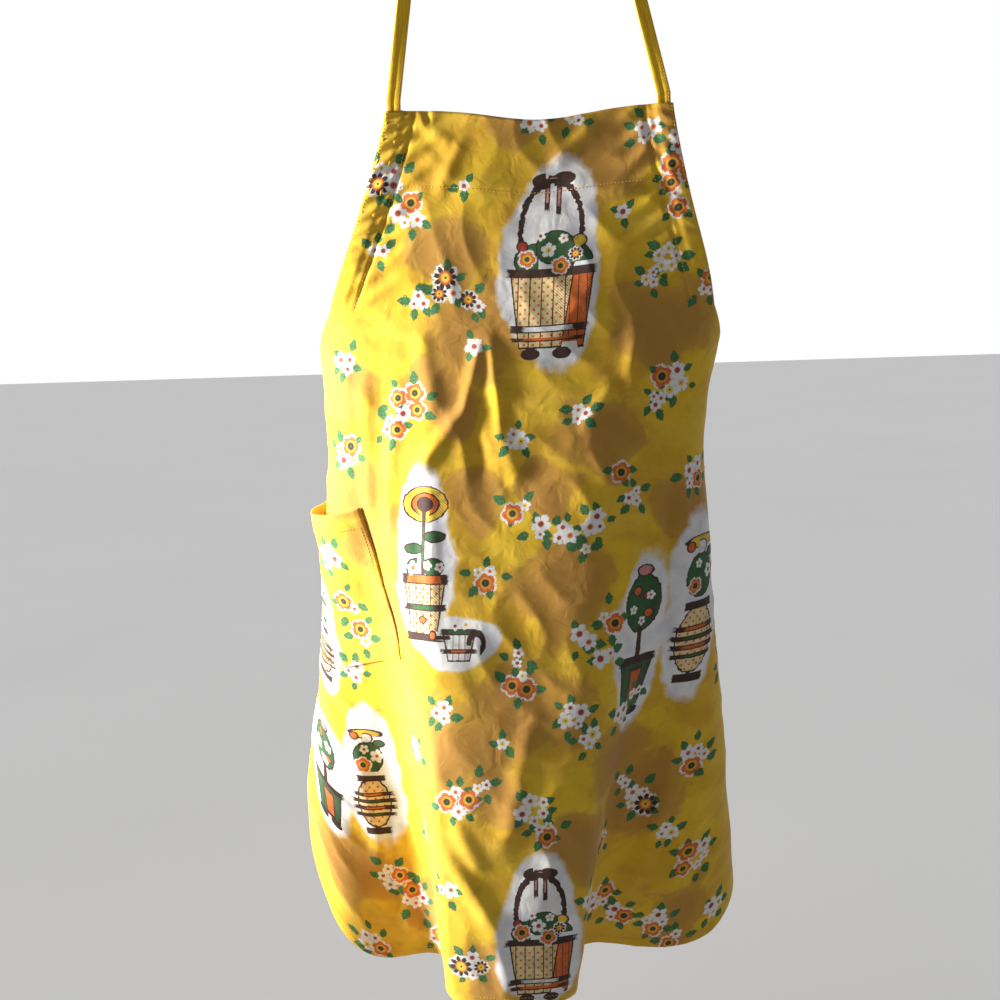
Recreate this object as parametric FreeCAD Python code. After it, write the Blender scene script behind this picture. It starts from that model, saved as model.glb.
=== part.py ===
import FreeCAD, Part
import math
import os

Vector = FreeCAD.Vector

# A printed cotton bib apron hanging by its neck loop from a long wall hook.
# Millimetres. Origin: centre of the hook's back plate, on the wall plane y = 0.
# The wall is behind (+Y), the apron hangs in front of it, +Z is up.

# --- hook -------------------------------------------------------------------
PLATE_WIDTH, PLATE_HEIGHT, PLATE_THICK = 32.0, 112.0, 4.0
PLATE_EDGE = 1.2              # radius round the plate's front rim
SCREW_SPACING, SCREW_HOLE, SCREW_HEAD = 84.0, 4.6, 9.4
ARM_DIAMETER, ARM_BEND, ARM_TIP_Z = 9.0, 14.0, 26.0
ARM_PAST_SEAT = 12.0          # straight arm left in front of the strap's middle
COLLAR_DIAMETER, COLLAR_LENGTH = 20.0, 7.0
COLLAR_LIP = 1.5              # the collar's front end stands this far round the arm
KNOB_DIAMETER, KNOB_SEAT = 20.0, 7.0   # the arm's tip goes this deep into the ball

# --- strap: one folded band, running over the hook, through both casings ----
STRAP_WIDTH, STRAP_THICK = 13.0, 2.4
STRAP_SEAT_GAP = 0.4          # daylight between the band and the hook's arm
STRAP_JOINT_GAP = 2.4         # the band is divided here, at each place it hinges
STRAP_CLEAR, STRAP_INSET = 0.5, 2.5   # inside its casing: play, distance from the edge
TIE_LENGTH = 400.0            # one waist tie, casing mouth to knot
TIE_EXIT_GAP = 4.0            # between the casing's mouth and the tie's own solid
TIE_STAND_OFF = 1.6           # its mouth gapes by this, so the tie comes out clear of the cloth
TIE_SET_BACK = 30.0           # how far the tie falls back behind the skirt
TIE_SET_IN = {"left": 14.0, "right": 38.0}   # and inwards, resting against the curled side
TIE_SETTLE = 0.32             # share of the tie in which it does so
KNOT_WIDTH, KNOT_HEIGHT, KNOT_DEPTH, TAIL_LENGTH = 24.0, 20.0, 14.0, 22.0

# --- apron, laid flat: u across from the centre line, v down from the bib ----
LENGTH = 862.0                # bib top to hem
ARMHOLE = 185.0               # depth of the armhole curves
BIB_HALF, WAIST_HALF, HEM_HALF = 132.0, 190.0, 345.0
FLARE_DEPTH = 220.0           # how quickly the skirt widens below the armhole
HEM_CORNER, CORNER_PULL = 95.0, 0.9
CLOTH_THICK = 2.4             # the plain solid's thickness
CASING_WIDTH = 27.0
FACING_DEPTH, FACING_THICK = 70.0, 1.4
POCKET_WIDTH, POCKET_HEIGHT, POCKET_THICK = 122.0, 152.0, 1.6
POCKET_CORNER = (-160.0, 368.0)      # its upper inner corner, flat (u, v)
POCKET_TURN = math.radians(15.0)     # it follows the slant of the side
POCKET_GAPE = 14.0                   # how far its mouth stands open
POCKET_SEAM_GAP = 0.8

# --- how it hangs -----------------------------------------------------------
HANG_Y = -96.0                # the vertical plane under the strap's seat
BIB_TOP_Z = -587.0
BEND_Y = HANG_Y - ARM_PAST_SEAT   # where the hook's arm starts to turn up
SWAY_PIVOT_RISE = 3.0         # the bib tips forward about a line just above its top
BIB_SAG, SAG_U, SAG_WIDTH, SAG_FADE = 12.0, 8.0, 62.0, 260.0
LEFT_MOUTH_X, RIGHT_MOUTH_X = -96.0, 153.0
STEP_WIDTHS = (26.0, 20.0, 30.0, 22.0)
CLOTH_Y = HANG_Y - CLOTH_THICK - STRAP_CLEAR - STRAP_THICK / 2   # its strap hangs in the plane

# Where the centre line lies across the wall, by depth v.
CENTRE_LINE = ((0, 29), (185, 17), (400, 4), (560, -3), (740, -7), (862, -10))

# The folds of each half, by depth v. Going out from the centre line the cloth
# turns back by `wall` degrees at `front`, turns forward again past the valley
# at `valley` until it slopes `lobe` degrees the other way, turns back by `flap`
# degrees at `crest`, and curls in behind by `curl` degrees more at `rim`.
#   v    front valley crest rim   wall lobe flap curl
LEFT_FOLDS = (
    (0, 60, 120, 150, 200, 0, 0, 6, 0),
    (120, 75, 135, 165, 200, 10, 6, 22, 0),
    (185, 85, 145, 170, 200, 18, 6, 42, 20),
    (320, 88, 150, 175, 218, 30, 0, 62, 74),
    (440, 88, 155, 200, 238, 50, -14, 72, 100),
    (600, 82, 158, 238, 270, 80, 0, 72, 100),
    (740, 72, 156, 256, 294, 90, 12, 66, 84),
    (862, 62, 152, 258, 312, 98, 18, 60, 40))
RIGHT_FOLDS = (
    (0, 60, 120, 150, 200, 0, 0, 8, 0),
    (120, 75, 135, 165, 200, 6, 3, 22, 0),
    (185, 85, 145, 170, 200, 12, 3, 50, 15),
    (320, 92, 150, 170, 218, 24, 4, 70, 64),
    (440, 96, 155, 190, 242, 38, 6, 76, 84),
    (600, 84, 150, 226, 274, 72, 8, 66, 88),
    (740, 72, 148, 257, 304, 88, 12, 60, 64),
    (862, 58, 146, 282, 328, 98, 16, 52, 40))

SIDES = {"left": -1.0, "right": 1.0}
MOUTH_X = {"left": LEFT_MOUTH_X, "right": RIGHT_MOUTH_X}

V_STEP, S_STEP, S_REACH = 10.0, 2.0, 372.0
RIGHT_DROP, EDGE_EASE, EDGE_FADE = 0.8, 6.0, 20.0   # how freely the right side's flare falls
LEAST_FALL = 0.2              # no cloth is hung flatter than this, squared


def between(table, v, column):
    """The table's column at depth v, in straight lines between its rows."""
    rows = list(table)
    for above, below in zip(rows, rows[1:]):
        if v <= below[0]:
            share = (v - above[0]) / (below[0] - above[0])
            return above[column] + share * (below[column] - above[column])
    return rows[-1][column]


def half_width(v):
    """Half of the flat cloth's width at depth v."""
    if v < ARMHOLE:
        width = BIB_HALF + (WAIST_HALF - BIB_HALF) * (max(v, 0.0) / ARMHOLE) ** 1.25
    else:
        grown = 1 - math.exp(-(v - ARMHOLE) / FLARE_DEPTH)
        full = 1 - math.exp(-(LENGTH - ARMHOLE) / FLARE_DEPTH)
        width = WAIST_HALF + (HEM_HALF - WAIST_HALF) * grown / full
    into_corner = min(max(v - (LENGTH - HEM_CORNER), 0.0), HEM_CORNER)
    drop = HEM_CORNER - math.sqrt(HEM_CORNER ** 2 - into_corner ** 2)
    return width - CORNER_PULL * drop


def rise(s, at, width):
    return 0.5 + 0.5 * math.tanh((s - at) / width)


def fold_angle(s, folds):
    """Direction of the cloth, in radians, s mm out from the centre line."""
    front, valley, crest, rim, wall, lobe, flap, curl = folds
    turns = (wall, -wall - lobe, lobe + flap, curl)
    total = 0.0
    for at, width, turn in zip((front, valley, crest, rim), STEP_WIDTHS, turns):
        total += turn * (rise(s, at, width) - rise(0.0, at, width))
    return math.radians(total)


def half_section(v, table, side):
    """Points (x, y) of one half of the level section at depth v, from its middle."""
    folds = [between(table, v, column) for column in range(1, 9)]
    x, y = 0.0, 0.0
    points = [(x, y)]
    for k in range(int(S_REACH / S_STEP)):
        angle = fold_angle((k + 0.5) * S_STEP, folds)
        x += side * math.cos(angle) * S_STEP
        y += math.sin(angle) * S_STEP
        points.append((x, y))
    return points


def section(v):
    """The whole level section at depth v, hung with its mean on the hang plane."""
    left = half_section(v, LEFT_FOLDS, -1.0)
    right = half_section(v, RIGHT_FOLDS, 1.0)
    points = left[::-1] + right[1:]
    middle = len(left) - 1
    reach = int(half_width(v) / S_STEP)
    inside = points[middle - reach:middle + reach + 1]
    mean = sum(y for _, y in inside) / len(inside)
    centre = between(CENTRE_LINE, v, 1)
    return [(x + centre, y - mean + CLOTH_Y) for x, y in points]


def lift_share(u, v):
    """Share of the slope's lift at (u, v): the right flare only gains it where cloth is."""
    if u <= 0.0:
        return 1.0
    edge = half_width(min(v, LENGTH - HEM_CORNER))
    there = min(max((edge + EDGE_EASE - u) / EDGE_FADE, 0.0), 1.0)
    return 1.0 - RIGHT_DROP * (1.0 - there)


def hung_rows():
    """Sections at even depths, each lowered by what the cloth's slope leaves."""
    count = int(LENGTH / V_STEP) + 2
    rows = []
    for j in range(count):
        level = section(min(j * V_STEP, LENGTH))
        if not rows:
            rows.append([Vector(x, y, 0.0) for x, y in level])
            continue
        row = []
        for k, ((x, y), above) in enumerate(zip(level, rows[-1])):
            run = math.hypot(x - above.x, y - above.y) / V_STEP
            lift = 1.0 - math.sqrt(max(1.0 - run * run, LEAST_FALL))
            lift *= lift_share(k * S_STEP - S_REACH, j * V_STEP)
            row.append(Vector(x, y, above.z - V_STEP * (1.0 - lift)))
        rows.append(row)
    return rows


ROWS = hung_rows()


def drape(u, v):
    """Place on the hanging cloth of the flat point (u, v)."""
    j = min(max(int(v / V_STEP), 0), len(ROWS) - 2)
    k_real = (u + S_REACH) / S_STEP
    k = min(max(int(k_real), 0), len(ROWS[0]) - 2)
    a, b = v / V_STEP - j, k_real - k
    upper = ROWS[j][k] * (1 - b) + ROWS[j][k + 1] * b
    lower = ROWS[j + 1][k] * (1 - b) + ROWS[j + 1][k + 1] * b
    place = upper * (1 - a) + lower * a
    sag = BIB_SAG * math.exp(-((u - SAG_U) / SAG_WIDTH) ** 2 - max(v, 0.0) / SAG_FADE)
    return place + Vector(0, 0, BIB_TOP_Z - sag)


def forward(u, v):
    """Unit normal of the hanging cloth on its printed side."""
    across = drape(u + 4, v) - drape(u - 4, v)
    down = drape(u, v + 8) - drape(u, v - 8)
    return across.cross(down).normalize() * -1.0


def raised(u, v, height):
    return drape(u, v) + forward(u, v) * height


# --- general shapes -----------------------------------------------------------
def skin(grid):
    surface = Part.BSplineSurface()
    surface.interpolate(grid)
    return surface


def rims(surface):
    """The four border edges of an interpolated surface."""
    u0, u1, v0, v1 = surface.bounds()
    curves = (surface.uIso(u0), surface.uIso(u1), surface.vIso(v0), surface.vIso(v1))
    return [curve.toShape() for curve in curves]


def closed_between(front_grid, back_grid):
    """Closed solid between two grids of points with the same layout."""
    front, back = skin(front_grid), skin(back_grid)
    faces = [front.toShape(), back.toShape()]
    for front_edge, back_edge in zip(rims(front), rims(back)):
        faces.append(Part.makeRuledSurface(front_edge, back_edge, 1))
    shell = Part.makeShell(faces)
    shell.sewShape()
    solid = Part.makeSolid(shell)
    if solid.Volume < 0:
        solid.reverse()
    return solid


def layer(rows, outer, inner):
    """Solid layer over rows of flat points, between two heights off the cloth."""
    front = [[raised(u, v, outer(u, v)) for u, v in row] for row in rows]
    back = [[raised(u, v, inner(u, v)) for u, v in row] for row in rows]
    return closed_between(front, back)


def even(first, last, count):
    return [first + (last - first) * k / (count - 1) for k in range(count)]


def band_section(centre, across, through, width, thick):
    half_a, half_t = across * (width / 2), through * (thick / 2)
    corners = [centre - half_a - half_t, centre + half_a - half_t,
               centre + half_a + half_t, centre - half_a + half_t]
    return Part.makePolygon(corners + corners[:1])


# --- hook ---------------------------------------------------------------------
def hook_plate():
    """Pressed plate with round ends and two countersunk screw holes."""
    straight = PLATE_HEIGHT - PLATE_WIDTH
    plate = Part.makeBox(PLATE_WIDTH, PLATE_THICK, straight,
                         Vector(-PLATE_WIDTH / 2, -PLATE_THICK, -straight / 2))
    for end in (-1, 1):
        centre = Vector(0, 0, end * straight / 2)
        plate = plate.fuse(Part.makeCylinder(PLATE_WIDTH / 2, PLATE_THICK, centre, Vector(0, -1, 0)))
    plate = plate.removeSplitter()
    rim = [edge for edge in plate.Edges if abs(edge.BoundBox.YMax + PLATE_THICK) < 0.01]
    plate = plate.makeFillet(PLATE_EDGE, rim)
    sink = (SCREW_HEAD - SCREW_HOLE) / 2
    for end in (-1, 1):
        front = Vector(0, -PLATE_THICK, end * SCREW_SPACING / 2)
        plate = plate.cut(Part.makeCylinder(SCREW_HOLE / 2, PLATE_THICK, front, Vector(0, 1, 0)))
        plate = plate.cut(Part.makeCone(SCREW_HEAD / 2, SCREW_HOLE / 2, sink, front, Vector(0, 1, 0)))
    return plate


def hook_arm():
    """Round rod: straight out from a riveted collar, then bent up to its tip."""
    start = Vector(0, -PLATE_THICK, 0)
    bend_start = Vector(0, BEND_Y, 0)
    turn = math.radians(45)
    bend_middle = Vector(0, BEND_Y - ARM_BEND * math.sin(turn), ARM_BEND * (1 - math.cos(turn)))
    bend_end = Vector(0, BEND_Y - ARM_BEND, ARM_BEND)
    tip = Vector(0, BEND_Y - ARM_BEND, ARM_TIP_Z)
    path = Part.Wire([Part.LineSegment(start, bend_start).toShape(),
                      Part.Arc(bend_start, bend_middle, bend_end).toShape(),
                      Part.LineSegment(bend_end, tip).toShape()])
    profile = Part.Wire([Part.makeCircle(ARM_DIAMETER / 2, start, Vector(0, -1, 0))])
    rod = path.makePipeShell([profile], True, False)
    lip = ARM_DIAMETER / 2 + COLLAR_LIP
    collar = Part.makeCone(COLLAR_DIAMETER / 2, lip, COLLAR_LENGTH, start, Vector(0, -1, 0))
    return rod.fuse(collar).removeSplitter()


def hook_knob():
    """Ball pressed over the end of the rod."""
    tip = Vector(0, BEND_Y - ARM_BEND, ARM_TIP_Z)
    centre = tip + Vector(0, 0, KNOB_DIAMETER / 2 - KNOB_SEAT)
    ball = Part.makeSphere(KNOB_DIAMETER / 2, centre)
    socket = Part.makeCylinder(ARM_DIAMETER / 2, KNOB_DIAMETER, tip - Vector(0, 0, KNOB_DIAMETER))
    return ball.cut(socket)


# --- strap ----------------------------------------------------------------------
SEAT_RADIUS = ARM_DIAMETER / 2 + STRAP_SEAT_GAP + STRAP_THICK / 2


def leg_slope(side):
    """Angle from the vertical at which one leg of the neck loop runs down."""
    across = abs(MOUTH_X[side]) - SEAT_RADIUS
    return math.atan2(across, abs(BIB_TOP_Z))


def leg_line(side):
    """Where a leg leaves the hook's arm, and its unit direction."""
    sign, slope = SIDES[side], leg_slope(side)
    start = Vector(sign * SEAT_RADIUS * math.cos(slope), HANG_Y, SEAT_RADIUS * math.sin(slope))
    end = Vector(MOUTH_X[side], HANG_Y, BIB_TOP_Z + SWAY_PIVOT_RISE + STRAP_JOINT_GAP / 2)
    return start, (end - start).normalize(), (end - start).Length


def strap_over_hook():
    """The stretch of the band that sits round the top of the hook's arm."""
    inner, outer = SEAT_RADIUS - STRAP_THICK / 2, SEAT_RADIUS + STRAP_THICK / 2
    first, last = leg_slope("right"), math.pi - leg_slope("left")
    front = HANG_Y - STRAP_WIDTH / 2

    def at(radius, angle):
        return Vector(radius * math.cos(angle), front, radius * math.sin(angle))

    middle = (first + last) / 2
    wire = Part.Wire([
        Part.Arc(at(outer, first), at(outer, middle), at(outer, last)).toShape(),
        Part.LineSegment(at(outer, last), at(inner, last)).toShape(),
        Part.Arc(at(inner, last), at(inner, middle), at(inner, first)).toShape(),
        Part.LineSegment(at(inner, first), at(outer, first)).toShape()])
    return Part.Face(wire).extrude(Vector(0, STRAP_WIDTH, 0))


def neck_strap(side):
    """One leg of the neck loop: a band that makes a quarter turn on its way down."""
    start, along, length = leg_line(side)
    edge_on = Vector(0, 1, 0)
    face_on = along.cross(edge_on).normalize()
    sections = []
    for share in even(0.0, 1.0, 9):
        place = start + along * (STRAP_JOINT_GAP + share * (length - STRAP_JOINT_GAP))
        turn = math.radians(90) * share
        across = edge_on * math.cos(turn) + face_on * math.sin(turn)
        through = along.cross(across).normalize()
        sections.append(band_section(place, across, through, STRAP_WIDTH, STRAP_THICK))
    return Part.makeLoft(sections, True, False)


CHANNEL_FLOOR = -CLOTH_THICK
FACING_GAP = 0.5              # between the cloth and what is stitched to its back
CASING_BOTTOM = ARMHOLE - 4.0


def casing_strap(side):
    """The band inside the channel along one armhole."""
    sign = SIDES[side]
    top = CHANNEL_FLOOR - STRAP_CLEAR
    rows = []
    for v in even(STRAP_JOINT_GAP / 2 - SWAY_PIVOT_RISE, CASING_BOTTOM, 12):
        edge = half_width(v)
        rows.append([(sign * (edge - inset), v)
                     for inset in even(STRAP_INSET, STRAP_INSET + STRAP_WIDTH, 5)])
    return layer(rows, lambda u, v: top, lambda u, v: top - STRAP_THICK)


def tie_exit(side):
    """Lower mouth of the channel, where the waist tie comes out."""
    v = CASING_BOTTOM
    inset = STRAP_INSET + STRAP_WIDTH / 2
    return raised(SIDES[side] * (half_width(v) - inset), v,
                  CHANNEL_FLOOR - STRAP_CLEAR - STRAP_THICK / 2 - TIE_STAND_OFF)


def tie_place(side, share):
    """Middle of the waist tie, from its mouth (0) to its knot (1)."""
    settled = math.sin(math.pi / 2 * min(share / TIE_SETTLE, 1.0))
    inwards = -SIDES[side] * TIE_SET_IN[side] * settled
    drop = TIE_EXIT_GAP + share * TIE_LENGTH
    return tie_exit(side) + Vector(inwards, TIE_SET_BACK * settled, -drop)


def waist_tie(side):
    """The band hanging below its casing; it leaves flat to the cloth, then faces front."""
    mouth_u = SIDES[side] * (half_width(CASING_BOTTOM) - STRAP_INSET - STRAP_WIDTH / 2)
    flat_to_cloth = drape(mouth_u + 4, CASING_BOTTOM) - drape(mouth_u - 4, CASING_BOTTOM)
    flat_to_cloth.z = 0
    flat_to_cloth.normalize()
    sections = []
    for share in even(0.0, 1.0, 14):
        here = tie_place(side, share)
        step = tie_place(side, min(share + 0.01, 1.0)) - tie_place(side, max(share - 0.01, 0.0))
        turned = min(share / TIE_SETTLE, 1.0)
        across = flat_to_cloth * (1 - turned) + Vector(1, 0, 0) * turned
        through = step.cross(across).normalize()
        across = through.cross(step).normalize()
        sections.append(band_section(here, across, through, STRAP_WIDTH, STRAP_THICK))
    return Part.makeLoft(sections, True, False)


def tie_knot(side):
    """Overhand knot in the end of the tie, with its short tail."""
    top = tie_place(side, 1.0)
    centre = top - Vector(0, 0, KNOT_HEIGHT / 2)
    lump = Part.makeSphere(KNOT_WIDTH / 2, centre)
    lump = lump.common(Part.makeBox(KNOT_WIDTH, KNOT_DEPTH, KNOT_HEIGHT,
                                    centre - Vector(KNOT_WIDTH, KNOT_DEPTH, KNOT_HEIGHT) / 2))
    tail = Part.makeBox(STRAP_WIDTH, STRAP_THICK, TAIL_LENGTH + KNOT_HEIGHT / 2,
                        centre - Vector(STRAP_WIDTH / 2, STRAP_THICK / 2, TAIL_LENGTH + KNOT_HEIGHT / 2))
    return lump.fuse(tail).removeSplitter()


# --- apron ------------------------------------------------------------------------
def panel_depths():
    """Depths of the panel's rows, closer together round the hem's corners."""
    straight = even(0.0, LENGTH - HEM_CORNER, 40)
    corner = [LENGTH - HEM_CORNER + HEM_CORNER * math.sin(math.pi / 2 * k / 8) for k in range(1, 9)]
    return straight + corner


def apron_panel():
    """The one big piece of cloth, bib and skirt."""
    rows = []
    for v in panel_depths():
        edge = half_width(v)
        rows.append([(share * edge, v) for share in even(-1.0, 1.0, 67)])
    return layer(rows, lambda u, v: 0.0, lambda u, v: -CLOTH_THICK)


def bib_facing():
    """Strip turned to the back along the top of the bib and stitched down."""
    rows = []
    for v in even(0.6, FACING_DEPTH, 7):
        edge = half_width(v) - CASING_WIDTH - 2.0
        rows.append([(share * edge, v) for share in even(-1.0, 1.0, 15)])
    top = CHANNEL_FLOOR - FACING_GAP
    return layer(rows, lambda u, v: top, lambda u, v: top - FACING_THICK)


def armhole_facing(side):
    """Strip on the back of one armhole; with the panel it makes the strap's channel."""
    sign = SIDES[side]
    crown = STRAP_THICK + 2 * STRAP_CLEAR

    def lift(u, v):
        inset = half_width(v) - abs(u)
        return CHANNEL_FLOOR - FACING_GAP - crown * min(inset / 1.6, (CASING_WIDTH - inset) / 8.0, 1.0)

    rows = []
    for v in even(0.6, CASING_BOTTOM, 22):
        edge = half_width(v)
        rows.append([(sign * (edge - inset), v)
                     for inset in (0.1, 1.6, 5.0, 10.0, 15.0, 19.0, 23.0, CASING_WIDTH - 0.1)])
    return layer(rows, lift, lambda u, v: lift(u, v) - FACING_THICK)


def pocket_point(p, q):
    """Flat place of the pocket's point: p out from its inner edge, q down."""
    u = POCKET_CORNER[0] - p * math.cos(POCKET_TURN) + q * math.sin(POCKET_TURN)
    v = POCKET_CORNER[1] + p * math.sin(POCKET_TURN) + q * math.cos(POCKET_TURN)
    return u, v


def pocket_gap(p, q):
    """How far the patch stands off the panel: open at its mouth, closed below."""
    across = math.sin(math.pi * min(max(p / POCKET_WIDTH, 0.0), 1.0)) ** 0.8
    down = max(1.0 - q / (0.8 * POCKET_HEIGHT), 0.0) ** 1.6
    return POCKET_SEAM_GAP + POCKET_GAPE * across * down


def pocket_patch():
    """Patch sewn on down both sides and along the bottom; its top is open."""
    front, back = [], []
    for q in even(0.0, POCKET_HEIGHT, 15):
        front_row, back_row = [], []
        for p in even(0.0, POCKET_WIDTH, 21):
            u, v = pocket_point(p, q)
            gap = pocket_gap(p, q)
            front_row.append(raised(u, v, gap + POCKET_THICK))
            back_row.append(raised(u, v, gap))
        front.append(front_row)
        back.append(back_row)
    return closed_between(front, back)


def main():
    os.makedirs("parts", exist_ok=True)
    nodes = {
        "hook_plate": hook_plate(),
        "hook_arm": hook_arm(),
        "hook_knob": hook_knob(),
        "strap_over_hook": strap_over_hook(),
        "apron_panel": apron_panel(),
        "bib_facing": bib_facing(),
        "pocket_patch": pocket_patch(),
    }
    for side in SIDES:
        nodes["neck_strap_" + side] = neck_strap(side)
        nodes["casing_strap_" + side] = casing_strap(side)
        nodes["armhole_facing_" + side] = armhole_facing(side)
        nodes["waist_tie_" + side] = waist_tie(side)
        nodes["tie_knot_" + side] = tie_knot(side)
    for name, shape in nodes.items():
        shape.exportStep("parts/" + name + ".step")


main()
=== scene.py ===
"""Looks of a printed cotton bib apron on a wall hook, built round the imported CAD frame. Metres;
places on the cloth are given as flat points (u across, v down from the bib's top) in millimetres."""
import math

import bpy
import numpy as np
from mathutils import Matrix, Vector


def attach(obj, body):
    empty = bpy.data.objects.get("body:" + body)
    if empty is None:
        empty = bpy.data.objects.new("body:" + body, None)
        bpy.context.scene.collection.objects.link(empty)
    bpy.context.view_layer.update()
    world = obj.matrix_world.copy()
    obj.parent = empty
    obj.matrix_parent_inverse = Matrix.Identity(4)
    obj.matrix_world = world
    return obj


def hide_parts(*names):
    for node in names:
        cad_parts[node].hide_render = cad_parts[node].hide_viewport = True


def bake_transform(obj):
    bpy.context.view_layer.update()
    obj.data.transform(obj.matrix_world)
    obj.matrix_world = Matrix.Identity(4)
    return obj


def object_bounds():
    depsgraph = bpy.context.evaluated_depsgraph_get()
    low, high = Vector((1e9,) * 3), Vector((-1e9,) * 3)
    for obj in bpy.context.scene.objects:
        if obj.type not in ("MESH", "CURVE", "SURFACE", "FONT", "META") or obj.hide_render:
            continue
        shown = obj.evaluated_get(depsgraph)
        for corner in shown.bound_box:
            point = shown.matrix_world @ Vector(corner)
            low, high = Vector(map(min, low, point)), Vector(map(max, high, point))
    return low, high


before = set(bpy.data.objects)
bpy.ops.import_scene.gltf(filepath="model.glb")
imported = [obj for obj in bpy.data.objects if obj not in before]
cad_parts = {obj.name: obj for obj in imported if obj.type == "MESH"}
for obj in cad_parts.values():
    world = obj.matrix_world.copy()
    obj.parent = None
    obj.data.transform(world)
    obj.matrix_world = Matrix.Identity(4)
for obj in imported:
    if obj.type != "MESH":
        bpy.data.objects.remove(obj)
cad_low, cad_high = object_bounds()
MM = 0.001

# --- the cloth, as the CAD part hangs it, in millimetres ---
LENGTH, ARMHOLE = 862.0, 185.0
BIB_HALF, WAIST_HALF, HEM_HALF = 132.0, 190.0, 345.0
FLARE_DEPTH, HEM_CORNER, CORNER_PULL = 220.0, 95.0, 0.9
CASING_WIDTH, CASING_BOTTOM, FACING_DEPTH = 27.0, 181.0, 70.0
HANG_Y, CLOTH_Y, BIB_TOP_Z = -96.0, -100.1, -587.0
BIB_SAG, SAG_U, SAG_WIDTH, SAG_FADE = 12.0, 8.0, 62.0, 260.0
SEAT_RADIUS = 6.1
MOUTH_X = {"left": -96.0, "right": 153.0}
SIGN = {"left": -1.0, "right": 1.0}
POCKET_WIDTH, POCKET_HEIGHT, POCKET_GAPE = 122.0, 152.0, 14.0
POCKET_CORNER, POCKET_TURN = (-160.0, 368.0), math.radians(15.0)
# The centre line's x at depths down the cloth.
CENTRE_LINE = ((0, 29), (185, 17), (400, 4), (560, -3), (740, -7), (862, -10))
STEP_WIDTHS = (26.0, 20.0, 30.0, 22.0)   # how gradually a level section makes its four turns
# Each half's folds: depth, where along the section its turns are, and their sizes in degrees.
#   v    front valley crest rim   wall lobe flap curl
LEFT_FOLDS = (
    (0, 60, 120, 150, 200, 0, 0, 6, 0),
    (120, 75, 135, 165, 200, 10, 6, 22, 0),
    (185, 85, 145, 170, 200, 18, 6, 42, 20),
    (320, 88, 150, 175, 218, 30, 0, 62, 74),
    (440, 88, 155, 200, 238, 50, -14, 72, 100),
    (600, 82, 158, 238, 270, 80, 0, 72, 100),
    (740, 72, 156, 256, 294, 90, 12, 66, 84),
    (862, 62, 152, 258, 312, 98, 18, 60, 40))
RIGHT_FOLDS = (
    (0, 60, 120, 150, 200, 0, 0, 8, 0),
    (120, 75, 135, 165, 200, 6, 3, 22, 0),
    (185, 85, 145, 170, 200, 12, 3, 50, 15),
    (320, 92, 150, 170, 218, 24, 4, 70, 64),
    (440, 96, 155, 190, 242, 38, 6, 76, 84),
    (600, 84, 150, 226, 274, 72, 8, 66, 88),
    (740, 72, 148, 257, 304, 88, 12, 60, 64),
    (862, 58, 146, 282, 328, 98, 16, 52, 40))
STEP, REACH, V_FIRST, V_LAST = 2.0, 372.0, -8.0, 868.0
RIGHT_DROP, EDGE_EASE, EDGE_FADE, LEAST_FALL = 0.8, 6.0, 20.0, 0.2
SMOOTHING = 16.0              # the folds change gradually down the cloth, over this depth
CLOTH = 0.6                   # thickness of one layer of the printed cotton

# --- camera ---
CAMERA_AT, LENS, LOOK_DOWN, LEAN = (-0.009, -1.300, -0.739), 45.6, 10.0, 1.75


def add_camera():
    data = bpy.data.cameras.new("camera")
    data.lens, data.sensor_width = LENS, 36.0
    camera = bpy.data.objects.new("camera", data)
    bpy.context.collection.objects.link(camera)
    tilt = Matrix.Rotation(math.radians(90.0 - LOOK_DOWN), 4, "X")
    roll = Matrix.Rotation(math.radians(-LEAN), 4, "Z")
    camera.matrix_world = Matrix.Translation(CAMERA_AT) @ tilt @ roll
    bpy.context.scene.camera = camera


add_camera()

# --- shader helper ---


class Value:
    """A node's output. Arithmetic on it adds Math nodes."""

    def __init__(self, shader, socket):
        self.shader, self.socket = shader, socket

    def __add__(self, other):
        return self.shader.math("ADD", self, other)

    def __sub__(self, other):
        return self.shader.math("SUBTRACT", self, other)

    def __mul__(self, other):
        return self.shader.math("MULTIPLY", self, other)

    def __truediv__(self, other):
        return self.shader.math("DIVIDE", self, other)

    def __pow__(self, power):
        return self.shader.math("POWER", self, power)

    def __abs__(self):
        return self.shader.math("ABSOLUTE", self)


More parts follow.
